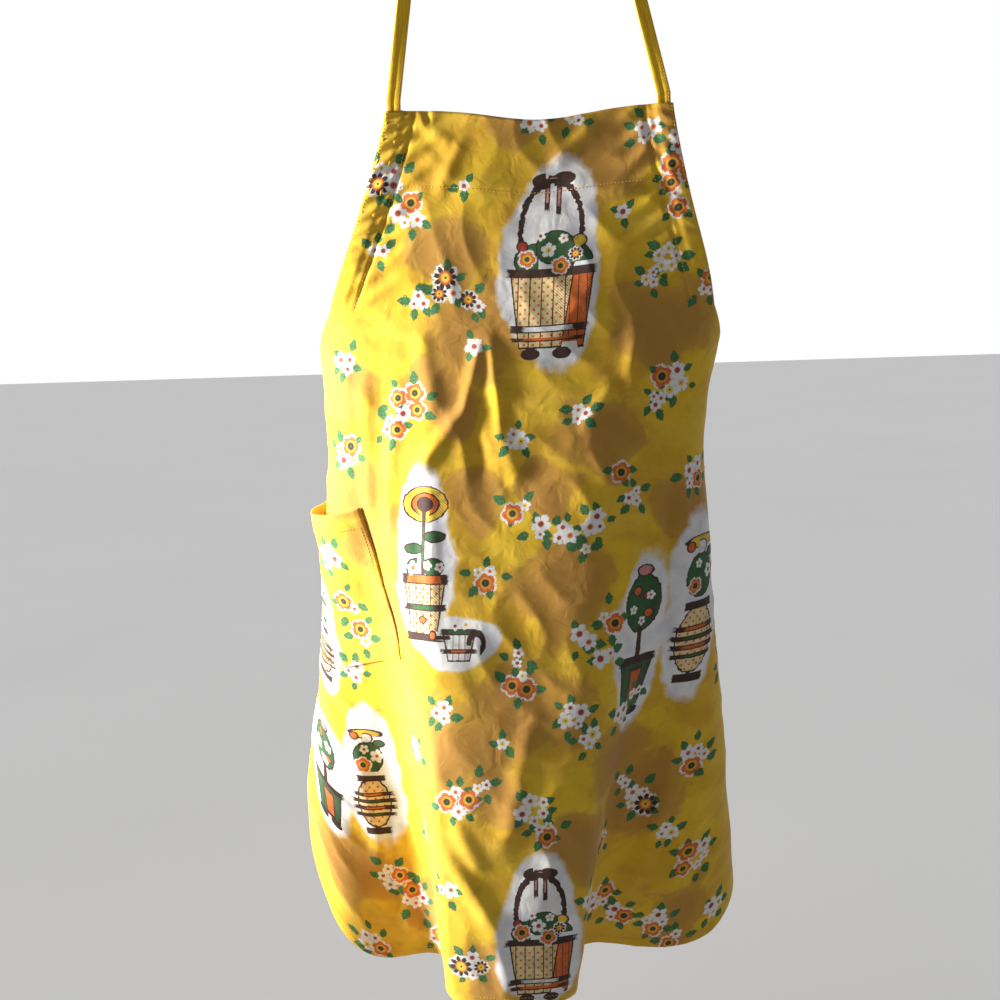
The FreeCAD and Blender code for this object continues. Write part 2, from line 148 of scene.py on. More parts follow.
class Shader:
    """Adds nodes to one new material and joins them up."""

    def __init__(self, name, roughness=0.8, metallic=0.0, sheen=0.0):
        self.material = bpy.data.materials.new(name)
        self.material.use_nodes = True
        self.tree = self.material.node_tree
        self.surface = self.tree.nodes["Principled BSDF"].inputs
        self.surface["Roughness"].default_value = roughness
        self.surface["Metallic"].default_value = metallic
        self.surface["Sheen Weight"].default_value = sheen

    def put(self, value, socket):
        if isinstance(value, Value):
            self.tree.links.new(value.socket, socket)
        else:
            socket.default_value = value

    def add(self, kind, inputs, output=0, **settings):
        node = self.tree.nodes.new("ShaderNode" + kind)
        for key, value in settings.items():
            setattr(node, key, value)
        for key, value in inputs.items():
            self.put(value, node.inputs[key])
        return Value(self, node.outputs[output])

    def math(self, operation, *values, clamp=False):
        return self.add("Math", dict(enumerate(values)), operation=operation, use_clamp=clamp)

    def mix(self, share, below, above):
        return self.add("Mix", {0: share, 6: below, 7: above}, output=2, data_type="RGBA")

    def choose(self, share, value, other):
        return self.add("Mix", {0: share, 2: value, 3: other}, data_type="FLOAT")

    def attribute(self, name, output=1):
        return self.add("Attribute", {}, output=output, attribute_name=name)

    def object_place(self):
        return self.add("TexCoord", {}, output=3)

    def split(self, vector):
        x = self.add("SeparateXYZ", {0: vector})
        return [x] + [Value(self, x.socket.node.outputs[k]) for k in (1, 2)]

    def scaled(self, vector, size):
        return self.add("VectorMath", {0: vector, 1: size}, operation="MULTIPLY")

    def noise(self, vector, scale, detail=2.0, distortion=0.0):
        inputs = {"Vector": vector, "Scale": scale, "Detail": detail, "Distortion": distortion}
        return self.add("TexNoise", inputs)

    def ramp(self, value, low, high):
        """0 below low, 1 above high, smooth between."""
        return self.add("MapRange", {0: value, 1: low, 2: high}, interpolation_type="SMOOTHSTEP")

    def inside(self, distance, soft=0.5):
        """1 where the distance is negative, 0 outside, with an edge `soft` wide."""
        return self.math("SUBTRACT", 0.5, distance / soft, clamp=True)

    def sine(self, value):
        return self.math("SINE", value)

    def whole(self, value):
        return self.math("FLOOR", value)

    def near(self, value, target, reach=0.1):
        return self.math("COMPARE", value, target, reach)

    def above(self, value, limit):
        return self.math("GREATER_THAN", value, limit)

    def larger(self, value, other):
        return self.math("MAXIMUM", value, other)

    def radius(self, x, y):
        return self.math("SQRT", x * x + y * y)

    def bump(self, height, distance, strength=1.0, below=None):
        inputs = {"Height": height, "Distance": distance, "Strength": strength}
        if below is not None:
            inputs["Normal"] = below
        return self.add("Bump", inputs)

    def finish(self, colour, normal=None, roughness=None):
        for name, value in (("Base Color", colour), ("Normal", normal), ("Roughness", roughness)):
            if value is not None:
                self.put(value, self.surface[name])
        return self.material


# Inks, linear RGB.
WHITE = (0.80, 0.80, 0.80, 1)
SHADED_WHITE = (0.66, 0.67, 0.74, 1)
CREAM = (0.80, 0.62, 0.32, 1)
ORANGE = (0.66, 0.13, 0.014, 1)
BROWN = (0.030, 0.008, 0.008, 1)
GREEN = (0.012, 0.100, 0.030, 1)
LEAF_GREEN = (0.035, 0.19, 0.06, 1)
VEIN_GREEN = (0.25, 0.42, 0.10, 1)
PINK = (0.62, 0.26, 0.25, 1)
LEMON = (0.80, 0.52, 0.04, 1)
RED = (0.40, 0.025, 0.015, 1)
GREY_PINK = (0.42, 0.36, 0.34, 1)
YELLOW = (0.78, 0.50, 0.012, 1)
GOLD = (0.66, 0.37, 0.014, 1)
OCHRE = (0.46, 0.225, 0.035, 1)
UNDYED = (0.88, 0.72, 0.36, 1)
SLUB = (0.25, 0.13, 0.02, 1)
PALETTE = (CREAM, ORANGE, BROWN, GREEN, PINK, LEMON, WHITE, RED)
SHAPE_LAYERS, LEAF_LAYERS, BLOOM_LAYERS = 4, 4, 4


def weave(shader, flat, pitch):
    """Height of a plain weave with threads `pitch` mm apart, between 0 and 1."""
    across, down, _ = shader.split(flat)
    turn = 2 * math.pi / pitch
    return shader.sine(across * turn) * shader.sine(down * turn) * 0.5 + 0.5


def watercolour_ground(shader, flat):
    """Yellow ground washed unevenly, with soft ochre blotches."""
    broad = shader.noise(flat, 0.014, 3.0, 1.2)
    fine = shader.noise(flat, 0.06, 5.0, 1.5)
    streaks = shader.noise(shader.scaled(flat, (0.010, 0.030, 1.0)), 1.0, 3.0, 0.8)
    wash = shader.mix(shader.ramp(broad, 0.36, 0.62), YELLOW, GOLD)
    wash = shader.mix(shader.ramp(streaks, 0.45, 0.72) * 0.7, wash, LEMON)
    edge = broad * 0.20 + (fine * 0.34 + shader.attribute("blotch", 2))
    wash = shader.mix(shader.ramp(edge, 0.56, 0.78) * 0.72, wash, OCHRE)
    wash = shader.mix(shader.ramp(edge, 0.80, 1.16) * 0.80, wash, OCHRE)
    return shader.mix(shader.ramp(fine, 0.48, 0.75) * 0.25, wash, OCHRE)


def paint_shape(shader, colour, layer, flat):
    """One layer of the little drawings: rounds, boxes, pots and rings, outlined in brown."""
    x, y, code = shader.split(shader.attribute("shape_%d" % layer))
    index = shader.whole(code)
    size = (code - index) * 100.0
    kind = shader.whole(index / 8.0)
    ink = index - kind * 8.0
    present = shader.above(code, 0.001)
    is_pot = shader.near(kind, 2.0)
    is_box = shader.near(kind, 1.5, 0.6)
    box = shader.larger(abs(x / (y * 0.2 * is_pot + 1.0)), abs(y))
    rounded = shader.radius(x, y) + (shader.noise(flat, 0.22, 1.0) * 0.16 - 0.08)
    distance = (shader.choose(is_box, rounded, box) - 1.0) * size
    distance = shader.choose(shader.near(kind, 3.0), distance, abs(distance) - 1.7)
    fill = PALETTE[0]
    for number, tone in enumerate(PALETTE[1:], 1):
        fill = shader.mix(shader.near(ink, float(number), 0.2), fill, tone)
    across, down, _ = shader.split(flat)
    dots = shader.ramp(shader.sine(across * 0.75) * shader.sine(down * 0.75), 0.45, 0.8)
    fill = shader.mix(dots * shader.near(ink, 0.0, 0.2), fill, ORANGE)
    pleat = shader.inside(abs(shader.sine(x * 7.0)) - 0.16, 0.12)
    fill = shader.mix(pleat * is_pot, fill, BROWN)
    hatching = shader.ramp(shader.sine((across - down) * 2.3), 0.2, 0.7)
    fill = shader.mix(hatching * shader.ramp(x, 0.25, 0.75) * 0.55, fill, BROWN)
    pooled = shader.ramp(shader.noise(flat, 0.11, 3.0, 1.0), 0.40, 0.70)
    fill = shader.mix(pooled * 0.28, fill, BROWN)
    painted = shader.mix(shader.inside(distance) * present, colour, fill)
    thick = shader.noise(flat, 0.30, 1.0) * 0.9 + 0.22
    line = shader.inside(abs(distance) - thick, 0.4)
    return shader.mix(line * present, painted, BROWN)


def paint_leaf(shader, colour, layer, tooth):
    """Pointed leaves with a paler vein. Each runs from x = 0 to x = 1."""
    x, y, code = shader.split(shader.attribute("leaf_%d" % layer))
    half = shader.sine(x ** 0.8 * math.pi) * (tooth * 0.62 + 0.02)
    blade = shader.inside(abs(y) - half, 0.06) * (shader.near(x, 0.5, 0.5) * shader.above(code, 0.001))
    tone = shader.mix(shader.ramp(tooth, 0.40, 0.60), GREEN, LEAF_GREEN)
    tone = shader.mix(shader.inside(abs(y) - 0.015, 0.05) * 0.30, tone, VEIN_GREEN)
    return shader.mix(blade, colour, tone)


class Bloom:
    """One layer of blossoms: their radius, petal edge and kind."""

    def __init__(self, shader, layer, tooth):
        x, y, code = shader.split(shader.attribute("bloom_%d" % layer))
        self.radius = shader.radius(x, y)
        kind = shader.whole(code)
        self.seed = code - kind
        self.is_orange = shader.near(kind, 2.0)
        self.is_daisy = shader.near(kind, 3.0)
        self.present = shader.above(code, 0.5)
        turn = shader.math("ARCTAN2", y, x) + self.seed * 9.0
        self.lobe = abs(shader.math("COSINE", turn * (self.is_daisy * 2.0 + 2.5))) ** 0.6
        depth = self.is_orange * -0.20 + 0.46
        edge = self.lobe * depth + shader.math("SUBTRACT", 0.84, depth)
        self.edge = edge + (tooth * 0.44 - 0.18)


def paint_halo(shader, colour, bloom, tooth):
    """Ragged white ground left round a blossom."""
    outline = bloom.edge + (tooth * 0.20 + 0.06)
    ragged = (tooth * 0.9 + 0.48) * bloom.is_daisy
    halo = shader.inside(bloom.radius - shader.larger(outline, ragged), 0.12)
    return shader.mix(halo * bloom.present, colour, WHITE)


def paint_bloom(shader, colour, bloom):
    """Petals and centre: white, orange, or dark brown by kind."""
    petal = shader.inside(bloom.radius - bloom.edge, 0.10)
    tone = shader.mix(bloom.is_daisy, shader.mix(bloom.is_orange, WHITE, ORANGE), BROWN)
    crease = shader.inside(bloom.lobe - 0.40, 0.3) * 0.75
    tone = shader.mix(crease, tone, shader.mix(bloom.is_orange, GREY_PINK, RED))
    inner = shader.mix(bloom.is_daisy, shader.mix(bloom.is_orange, WHITE, LEMON), ORANGE)
    tone = shader.mix(shader.inside(bloom.radius - 0.46, 0.2), tone, inner)
    eye = shader.inside(bloom.radius - (bloom.seed * 0.10 + 0.28), 0.16)
    warm = shader.mix(shader.above(bloom.seed, 0.35), ORANGE, RED)
    warm = shader.mix(shader.above(bloom.seed, 0.70), warm, LEMON)
    eye_tone = shader.mix(bloom.is_daisy, shader.mix(bloom.is_orange, warm, BROWN), LEMON)
    tone = shader.mix(eye, tone, eye_tone)
    tone = shader.mix(shader.inside(bloom.radius - 0.10, 0.06), tone, GREEN)
    return shader.mix(petal * bloom.present, colour, tone)


def printed_cotton(name, reverse):
    """The print, seen from its face or showing paler through the reverse."""
    shader = Shader(name, roughness=0.86, sheen=0.12)
    flat = shader.attribute("flat")
    tooth = shader.noise(flat, 0.55, 3.0)
    colour = watercolour_ground(shader, flat)
    ragged = shader.noise(flat, 0.07, 3.0) * 9.0 - 4.5
    white = shader.inside(shader.attribute("white", 2) + ragged, 4.5)
    shade = shader.ramp(shader.noise(flat, 0.05, 2.0), 0.4, 0.7)
    colour = shader.mix(white, colour, shader.mix(shade, WHITE, SHADED_WHITE))
    for layer in range(SHAPE_LAYERS):
        colour = paint_shape(shader, colour, layer, flat)
    blooms = [Bloom(shader, layer, tooth) for layer in range(BLOOM_LAYERS)]
    for bloom in blooms:
        colour = paint_halo(shader, colour, bloom, tooth)
    for layer in range(LEAF_LAYERS):
        colour = paint_leaf(shader, colour, layer, tooth)
    for bloom in blooms:
        colour = paint_bloom(shader, colour, bloom)
    if reverse:
        colour = shader.mix(0.55, colour, UNDYED)
    slub = shader.noise(shader.scaled(flat, (0.05, 1.2, 1.0)), 1.0, 2.0)
    colour = shader.mix(slub * 0.10, colour, SLUB)
    normal = shader.bump(weave(shader, flat, 1.1), 0.00012, 0.5)
    normal = shader.bump(shader.noise(flat, 0.045, 3.0, 1.0), 0.0020, 0.45, normal)
    return shader.finish(colour, normal)


def strap_cotton():
    """Plain yellow cotton of the strap and ties, worn paler along its edges."""
    shader = Shader("strap_cotton", roughness=0.85, sheen=0.12)
    flat = shader.attribute("flat")
    worn = shader.ramp(abs(shader.split(flat)[0]), 5.2, 6.4)
    streak = shader.noise(shader.scaled(flat, (0.9, 0.03, 1.0)), 1.0, 3.0)
    colour = shader.mix(shader.ramp(streak, 0.35, 0.7), (0.86, 0.56, 0.008, 1), (0.70, 0.36, 0.010, 1))
    colour = shader.mix(worn * 0.35, colour, (0.93, 0.76, 0.28, 1))
    normal = shader.bump(weave(shader, flat, 1.0), 0.00012, 0.5)
    normal = shader.bump(shader.noise(flat, 0.25, 3.0), 0.0006, 0.6, normal)
    return shader.finish(colour, normal)


def thread_yarn():
    """Twisted sewing thread."""
    shader = Shader("sewing_thread", roughness=0.6, sheen=0.2)
    twist = shader.noise(shader.attribute("flat"), 1.6, 2.0)
    return shader.finish(shader.mix(twist, (0.80, 0.50, 0.05, 1), (0.55, 0.28, 0.02, 1)))


def brushed_metal():
    """Satin nickel with fine marks and slightly duller patches."""
    shader = Shader("hook_metal", roughness=0.34, metallic=1.0)
    marks = shader.noise(shader.scaled(shader.object_place(), (600.0, 30.0, 600.0)), 1.0, 3.0)
    patches = shader.noise(shader.object_place(), 25.0, 3.0)
    colour = shader.mix(patches, (0.62, 0.60, 0.57, 1), (0.48, 0.47, 0.45, 1))
    return shader.finish(colour, shader.bump(marks, 0.0002, 0.25), marks * 0.22 + 0.22)


def polished_knob():
    """Warm brass, a little tarnished."""
    shader = Shader("knob_metal", roughness=0.25, metallic=1.0)
    tarnish = shader.noise(shader.object_place(), 90.0, 4.0)
    colour = shader.mix(shader.ramp(tarnish, 0.45, 0.75), (0.80, 0.56, 0.24, 1), (0.42, 0.27, 0.11, 1))
    return shader.finish(colour, None, tarnish * 0.30 + 0.12)


PRINT_FACE = printed_cotton("printed_cotton", reverse=False)
PRINT_BACK = printed_cotton("printed_cotton_reverse", reverse=True)
STRAP = strap_cotton()
THREAD = thread_yarn()

# --- the hanging cloth ---


def half_width(v):
    """Half of the flat cloth's width at depth v."""
    v = np.asarray(v, float)
    bib = BIB_HALF + (WAIST_HALF - BIB_HALF) * (np.clip(v, 0.0, ARMHOLE) / ARMHOLE) ** 1.25
    grown = 1 - np.exp(-np.clip(v - ARMHOLE, 0.0, None) / FLARE_DEPTH)
    full = 1 - math.exp(-(LENGTH - ARMHOLE) / FLARE_DEPTH)
    width = np.where(v < ARMHOLE, bib, WAIST_HALF + (HEM_HALF - WAIST_HALF) * grown / full)
    into = np.clip(v - (LENGTH - HEM_CORNER), 0.0, HEM_CORNER)
    return width - CORNER_PULL * (HEM_CORNER - np.sqrt(HEM_CORNER ** 2 - into ** 2))


def rise(s, at, width):
    """0 before `at`, 1 past it."""
    return 0.5 + 0.5 * np.tanh((s - at) / width)


def bell(distance, width):
    """1 in the middle, 0 far from it."""
    return np.exp(-(distance / width) ** 2)


def unit(vectors):
    return vectors / (np.linalg.norm(vectors, axis=-1, keepdims=True) + 1e-12)


def run_along(points):
    """Distance of each point of a line from its first, along the line."""
    steps = np.linalg.norm(np.diff(points, axis=0), axis=1)
    return np.concatenate([[0.0], np.cumsum(steps)])


def half_sections(depths, table, side):
    """x and y of one half of the level sections, out from the centre line."""
    rows = np.array(table, float)
    columns = [np.interp(depths, rows[:, 0], rows[:, k])[:, None] for k in range(1, 9)]
    front, valley, crest, rim, wall, lobe, flap, curl = columns
    turns = (wall, -wall - lobe, lobe + flap, curl)
    s = (np.arange(int(REACH / STEP)) + 0.5) * STEP
    total = 0.0
    for at, width, turn in zip((front, valley, crest, rim), STEP_WIDTHS, turns):
        total = total + turn * (rise(s, at, width) - rise(0.0, at, width))
    angle = np.radians(total)
    return side * np.cumsum(np.cos(angle), axis=1) * STEP, np.cumsum(np.sin(angle), axis=1) * STEP


def smoothed(values, depths):
    """Running average down the cloth, with a bell-shaped weight."""
    weight = np.exp(-0.5 * ((depths[:, None] - depths[None, :]) / SMOOTHING) ** 2)
    return (weight / weight.sum(axis=1, keepdims=True)) @ values


def hung_cloth(depths, across):
    """Places of the cloth's mean surface on a grid of flat points."""
    left_x, left_y = half_sections(depths, LEFT_FOLDS, -1.0)
    right_x, right_y = half_sections(depths, RIGHT_FOLDS, 1.0)
    middle = np.zeros((len(depths), 1))
    x = np.hstack([left_x[:, ::-1], middle, right_x])
    y = np.hstack([left_y[:, ::-1], middle, right_y])
    inside = np.abs(across)[None, :] <= half_width(np.clip(depths, 0, LENGTH))[:, None]
    mean = (y * inside).sum(axis=1) / inside.sum(axis=1)
    line = np.array(CENTRE_LINE, float)
    x = smoothed(x + np.interp(depths, line[:, 0], line[:, 1])[:, None], depths)
    y = smoothed(y - mean[:, None] + CLOTH_Y, depths)
    run = np.hypot(np.diff(x, axis=0), np.diff(y, axis=0)) / STEP
    edge = half_width(np.clip(depths[1:], 0, LENGTH - HEM_CORNER))[:, None]
    there = np.clip((edge + EDGE_EASE - across[None, :]) / EDGE_FADE, 0.0, 1.0)
    lift = np.where(across[None, :] > 0, 1.0 - RIGHT_DROP * (1.0 - there), 1.0)
    drop = STEP * (1.0 - lift * (1.0 - np.sqrt(np.maximum(1.0 - run ** 2, LEAST_FALL))))
    z = np.vstack([np.zeros((1, len(across))), -np.cumsum(drop, axis=0)])
    z = z - z[int(-V_FIRST / STEP)][None, :]
    sag = BIB_SAG * bell(across[None, :] - SAG_U, SAG_WIDTH)
    sag = sag * np.exp(-np.clip(depths, 0, None)[:, None] / SAG_FADE)
    return np.stack([x, y, z + BIB_TOP_Z - sag], axis=-1)


def normals_of(points):
    """Unit normals of a grid of points, on the cloth's printed side."""
    return unit(np.cross(np.gradient(points, axis=0), np.gradient(points, axis=1)))


def ripples(u, v, count, shortest, longest, seed):
    """Sum of plane waves in scattered directions, about -1 to 1."""
    random = np.random.default_rng(seed)
    total = 0.0
    for _ in range(count):
        turn, phase = random.uniform(0, 2 * math.pi, 2)
        wave = random.uniform(shortest, longest)
        total = total + np.sin((u * math.cos(turn) + v * math.sin(turn)) * 2 * math.pi / wave + phase)
    return total / math.sqrt(count)


# Soft creases of the cloth: from (u, v) to (u, v), height and width.
CREASES = (
    (-38, 204, -52, 285, 3.4, 7), (-50, 270, -98, 338, 3.4, 8), (-30, 200, -16, 300, 3.0, 6),
    (-20, 285, 2, 350, 1.8, 8), (-44, 240, -34, 340, -2.4, 8), (-97, 195, -78, 285, 2.2, 9),
    (-116, 250, -128, 400, 3.0, 8), (-98, 330, -92, 450, -2.4, 8), (-150, 240, -148, 380, 2.6, 9),
    (-84, 330, -74, 520, 2.6, 9), (104, 179, 112, 330, 2.8, 10), (139, 330, 152, 500, 3.2, 8),
    (166, 330, 180, 520, 2.8, 8), (153, 350, 166, 520, -3.0, 6), (122, 360, 104, 450, 2.4, 9),
    (96, 420, 78, 540, -2.4, 9), (-62, 71, 20, 62, 1.6, 8), (35, 62, 100, 74, 1.6, 9),
    (60, 10, 20, 44, 1.8, 9), (-96, -6, -92, 12, -2.6, 3), (-60, 20, -84, 80, 1.8, 7),
    (-100, 10, -70, 30, 2.0, 7), (90, 250, 60, 300, 1.8, 9), (118, 200, 96, 250, 1.6, 8),
    (20, 560, -10, 700, 2.2, 11), (50, 640, 40, 800, -2.2, 11), (-72, 690, -16, 778, 4.0, 9),
    (-20, 765, -4, 862, 3.0, 10), (-60, 660, -30, 720, 2.0, 8), (34, 700, 60, 780, 2.0, 10),
    (-210, 600, -196, 760, 3.0, 11), (200, 600, 190, 780, 3.0, 11), (-150, 640, -140, 800, -2.6, 10),
    (-178, 690, -182, 850, 2.6, 9), (160, 640, 152, 800, 2.4, 10), (236, 620, 232, 800, 2.6, 11),
    (79, 600, 64, 862, 3.2, 8), (-78, 600, -66, 862, 2.6, 8))


# Straight lines across the cloth, where it was folded or is sewn: depth and height.
CROSS_LINES = ((FACING_DEPTH - 1.5, -0.5), (347.0, 0.5), (444.0, 0.6), (512.0, 0.5))
CASING_PUFF, SEAM_SINK, SEAM_WIDTH = 1.3, 1.8, 1.7
GATHER_PITCH, PULL_PITCH = 17.0, 23.0


def casing_relief(u, v, inset):
    """The armhole casings: puffed over the strap, gathered, and drawn in along their seam."""
    above_mouth = rise(CASING_BOTTOM - 4 - v, 0.0, 5.0)
    in_casing = rise(inset, 1.0, 1.2) * rise(CASING_WIDTH - inset, 3.5, 2.0) * above_mouth
    gather = np.sin(2 * math.pi * (v + 7 * np.sin(v / 19.0) + 0.55 * inset) / GATHER_PITCH)
    left, right = 0.3 + 1.2 * rise(100.0 - v, 0.0, 30.0), 0.7 * rise(110.0 - v, 0.0, 25.0)
    puff = CASING_PUFF * rise(17.0 - inset, 0.0, 2.0) + np.where(u < 0, left, right) * gather
    pull = bell(inset - CASING_WIDTH - 12, 14.0) * np.sin(2 * math.pi * (v + 0.5 * u) / PULL_PITCH)
    seam = SEAM_SINK * bell(inset - CASING_WIDTH, SEAM_WIDTH)
    return in_casing * puff + (pull - seam) * above_mouth


def relief(u, v):
    """Height of the small folds, seams and creases off the mean surface."""
    height = casing_relief(u, v, half_width(v) - np.abs(u))
    for depth, size in CROSS_LINES:
        height = height + size * bell(v - depth - 2.0 * np.sin(u / 60.0), 2.2)
    for u0, v0, u1, v1, size, width in CREASES:
        du, dv, length = u1 - u0, v1 - v0, math.hypot(u1 - u0, v1 - v0)
        along = ((u - u0) * du + (v - v0) * dv) / length ** 2
        aside = ((u - u0) * dv - (v - v0) * du) / length
        fade = bell(np.clip(np.abs(along - 0.5) - 0.30, 0, None), 0.16)
        height = height + size * fade * bell(aside, width)
    return height + 1.5 * ripples(u, v, 7, 90, 210, 3) - 0.8 * np.abs(ripples(u, v, 6, 40, 95, 8))


DEPTHS = np.arange(V_FIRST, V_LAST + STEP / 2, STEP)
ACROSS = np.arange(-REACH, REACH + STEP / 2, STEP)
GRID_U, GRID_V = np.meshgrid(ACROSS, DEPTHS)
MEAN_SURFACE = hung_cloth(DEPTHS, ACROSS)
SURFACE = MEAN_SURFACE + normals_of(MEAN_SURFACE) * relief(GRID_U, GRID_V)[..., None]
NORMAL = normals_of(SURFACE)


def read_grid(grid, u, v):
    """Value of a grid at flat points, in straight lines between its points."""
    row = np.clip((np.asarray(v, float) - V_FIRST) / STEP, 0, len(DEPTHS) - 1.001)
    column = np.clip((np.asarray(u, float) + REACH) / STEP, 0, len(ACROSS) - 1.001)
    j, k = row.astype(int), column.astype(int)
    a, b = (row - j)[..., None], (column - k)[..., None]
    upper = grid[j, k] * (1 - b) + grid[j, k + 1] * b
    lower = grid[j + 1, k] * (1 - b) + grid[j + 1, k + 1] * b
    return upper * (1 - a) + lower * a


def normal_at(u, v):
    return unit(read_grid(NORMAL, u, v))


def place(u, v, height=0.0):
    """Places, in metres, `height` mm off the printed side at flat points."""
    return (read_grid(SURFACE, u, v) + normal_at(u, v) * np.asarray(height, float)[..., None]) * MM


# --- meshes ---


def write_attribute(mesh, name, kind, domain, values):
    attribute = mesh.attributes.new(name, kind, domain)
    key = "value" if kind == "FLOAT" else "vector"
    attribute.data.foreach_set(key, np.asarray(values, np.float32).ravel())


def add_mesh(name, points, faces, materials, flat=None, material_index=None):
    """Smooth-shaded mesh; `flat` gives each point's place on its flat cloth, in mm."""
    mesh = bpy.data.meshes.new(name)
    faces = faces if isinstance(faces, list) else faces.tolist()
    mesh.from_pydata(np.asarray(points).reshape(-1, 3).tolist(), [], faces)
    for material in materials:
        mesh.materials.append(material)
    mesh.polygons.foreach_set("use_smooth", [True] * len(mesh.polygons))
    if material_index is not None:
        mesh.polygons.foreach_set("material_index", np.asarray(material_index, np.int32))
    if flat is not None:
        write_attribute(mesh, "flat", "FLOAT_VECTOR", "POINT", flat)
    mesh.update()
    piece = bpy.data.objects.new(name, mesh)
    bpy.context.collection.objects.link(piece)
    return piece


def grid_faces(rows, columns, first=0, flip=False):
    """Quads of a grid of points that are numbered along its rows."""
    corner = first + np.arange((rows - 1) * columns).reshape(rows - 1, columns)[:, :-1].ravel()
    quads = np.stack([corner, corner + columns, corner + columns + 1, corner + 1], axis=1)
    return quads[:, ::-1] if flip else quads


def rim_faces(rows, columns, second):
    """Quads that join the borders of two grids, the second numbered from `second`."""
    top = np.arange(columns)
    bottom = top + (rows - 1) * columns
    left = np.arange(rows) * columns
    right = left + columns - 1
    quads = []
    for border, flip in ((top, False), (bottom, True), (left, True), (right, False)):
        a, b = border[:-1], border[1:]
        quad = np.stack([a, b, b + second, a + second], axis=1)
        quads.append(quad[:, ::-1] if flip else quad)
    return np.vstack(quads)


def ring_faces(count, around):
    """Quads between rings of points."""
    t = np.arange(around)
    n = (t + 1) % around
    one = np.stack([t, n, around + n, around + t], axis=1)
    return (one[None] + np.arange(count - 1)[:, None, None] * around).reshape(-1, 4)


def add_layer(name, u, v, outer, inner, materials, shift=(0.0, 0.0)):
    """Closed layer of cloth over a grid of flat points, between two heights off the printed side.
    The first material is on its outer face, the last on its inner one. `shift` is where on the
    printed cloth it was cut from."""
    rows, columns = u.shape
    count = rows * columns
    outer = np.broadcast_to(outer, u.shape)
    inner = np.broadcast_to(inner, u.shape)
    points = np.concatenate([place(u, v, outer).reshape(-1, 3), place(u, v, inner).reshape(-1, 3)])
    faces = np.vstack([grid_faces(rows, columns), grid_faces(rows, columns, count, True),
                       rim_faces(rows, columns, count)])
    index = np.zeros(len(faces), np.int32)
    index[(rows - 1) * (columns - 1):2 * (rows - 1) * (columns - 1)] = len(materials) - 1
    one = np.stack([u + shift[0], v + shift[1], np.zeros_like(u)], axis=-1).reshape(-1, 3)
    return add_mesh(name, points, faces, materials, np.concatenate([one, one]), index)


def resampled(points, normals, at):
    """Points and normals at distances `at` along a line of points."""
    along = run_along(points)
    spot = np.stack([np.interp(at, along, points[:, k]) for k in range(3)], axis=-1)
    up = np.stack([np.interp(at, along, normals[:, k]) for k in range(3)], axis=-1)
    return spot, unit(up)


def sew(name, points, normals, pitch=3.4, stitch=2.6, thick=0.30):
    """Row of stitches, each a short rounded length of thread proud of the cloth."""
    sections = around = 6
    share = np.linspace(0.0, 1.0, sections)
    starts = np.arange(0.0, run_along(points)[-1] - pitch * MM, pitch * MM)
    at = starts[:, None] + share[None, :] * stitch * MM
    spot, up = resampled(points, normals, at)
    ahead, _ = resampled(points, normals, at + 0.2 * MM)
    aside = np.cross(unit(ahead - spot), up)
    arch = np.sin(share * math.pi)
    spot = spot + up * ((0.34 * arch - 0.20) * MM)[None, :, None]
    radius = (thick * np.sqrt(0.12 + 0.88 * arch) * MM)[None, :, None]
    turns = np.linspace(0, 2 * math.pi, around, endpoint=False)
    rings = [spot + radius * (math.cos(t) * aside * 1.25 + math.sin(t) * up) for t in turns]
    tubes = np.stack(rings, axis=2)
    firsts = np.arange(len(starts)) * around * sections
    faces = (ring_faces(sections, around)[None] + firsts[:, None, None]).reshape(-1, 4)
    return add_mesh(name, tubes, faces, [THREAD], tubes.reshape(-1, 3) / MM)


def sew_cloth(name, u, v, height):
    """Row of stitches along flat points, `height` mm off the printed side."""
    return sew(name, place(u, v, height), normal_at(u, v))


def fit_out(piece, body, slot, *nodes):
    """The body that a piece moves with and the CAD nodes that it replaces; its material slot is not
    used.
    """
    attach(piece, body)
    if nodes:
        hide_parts(*nodes)


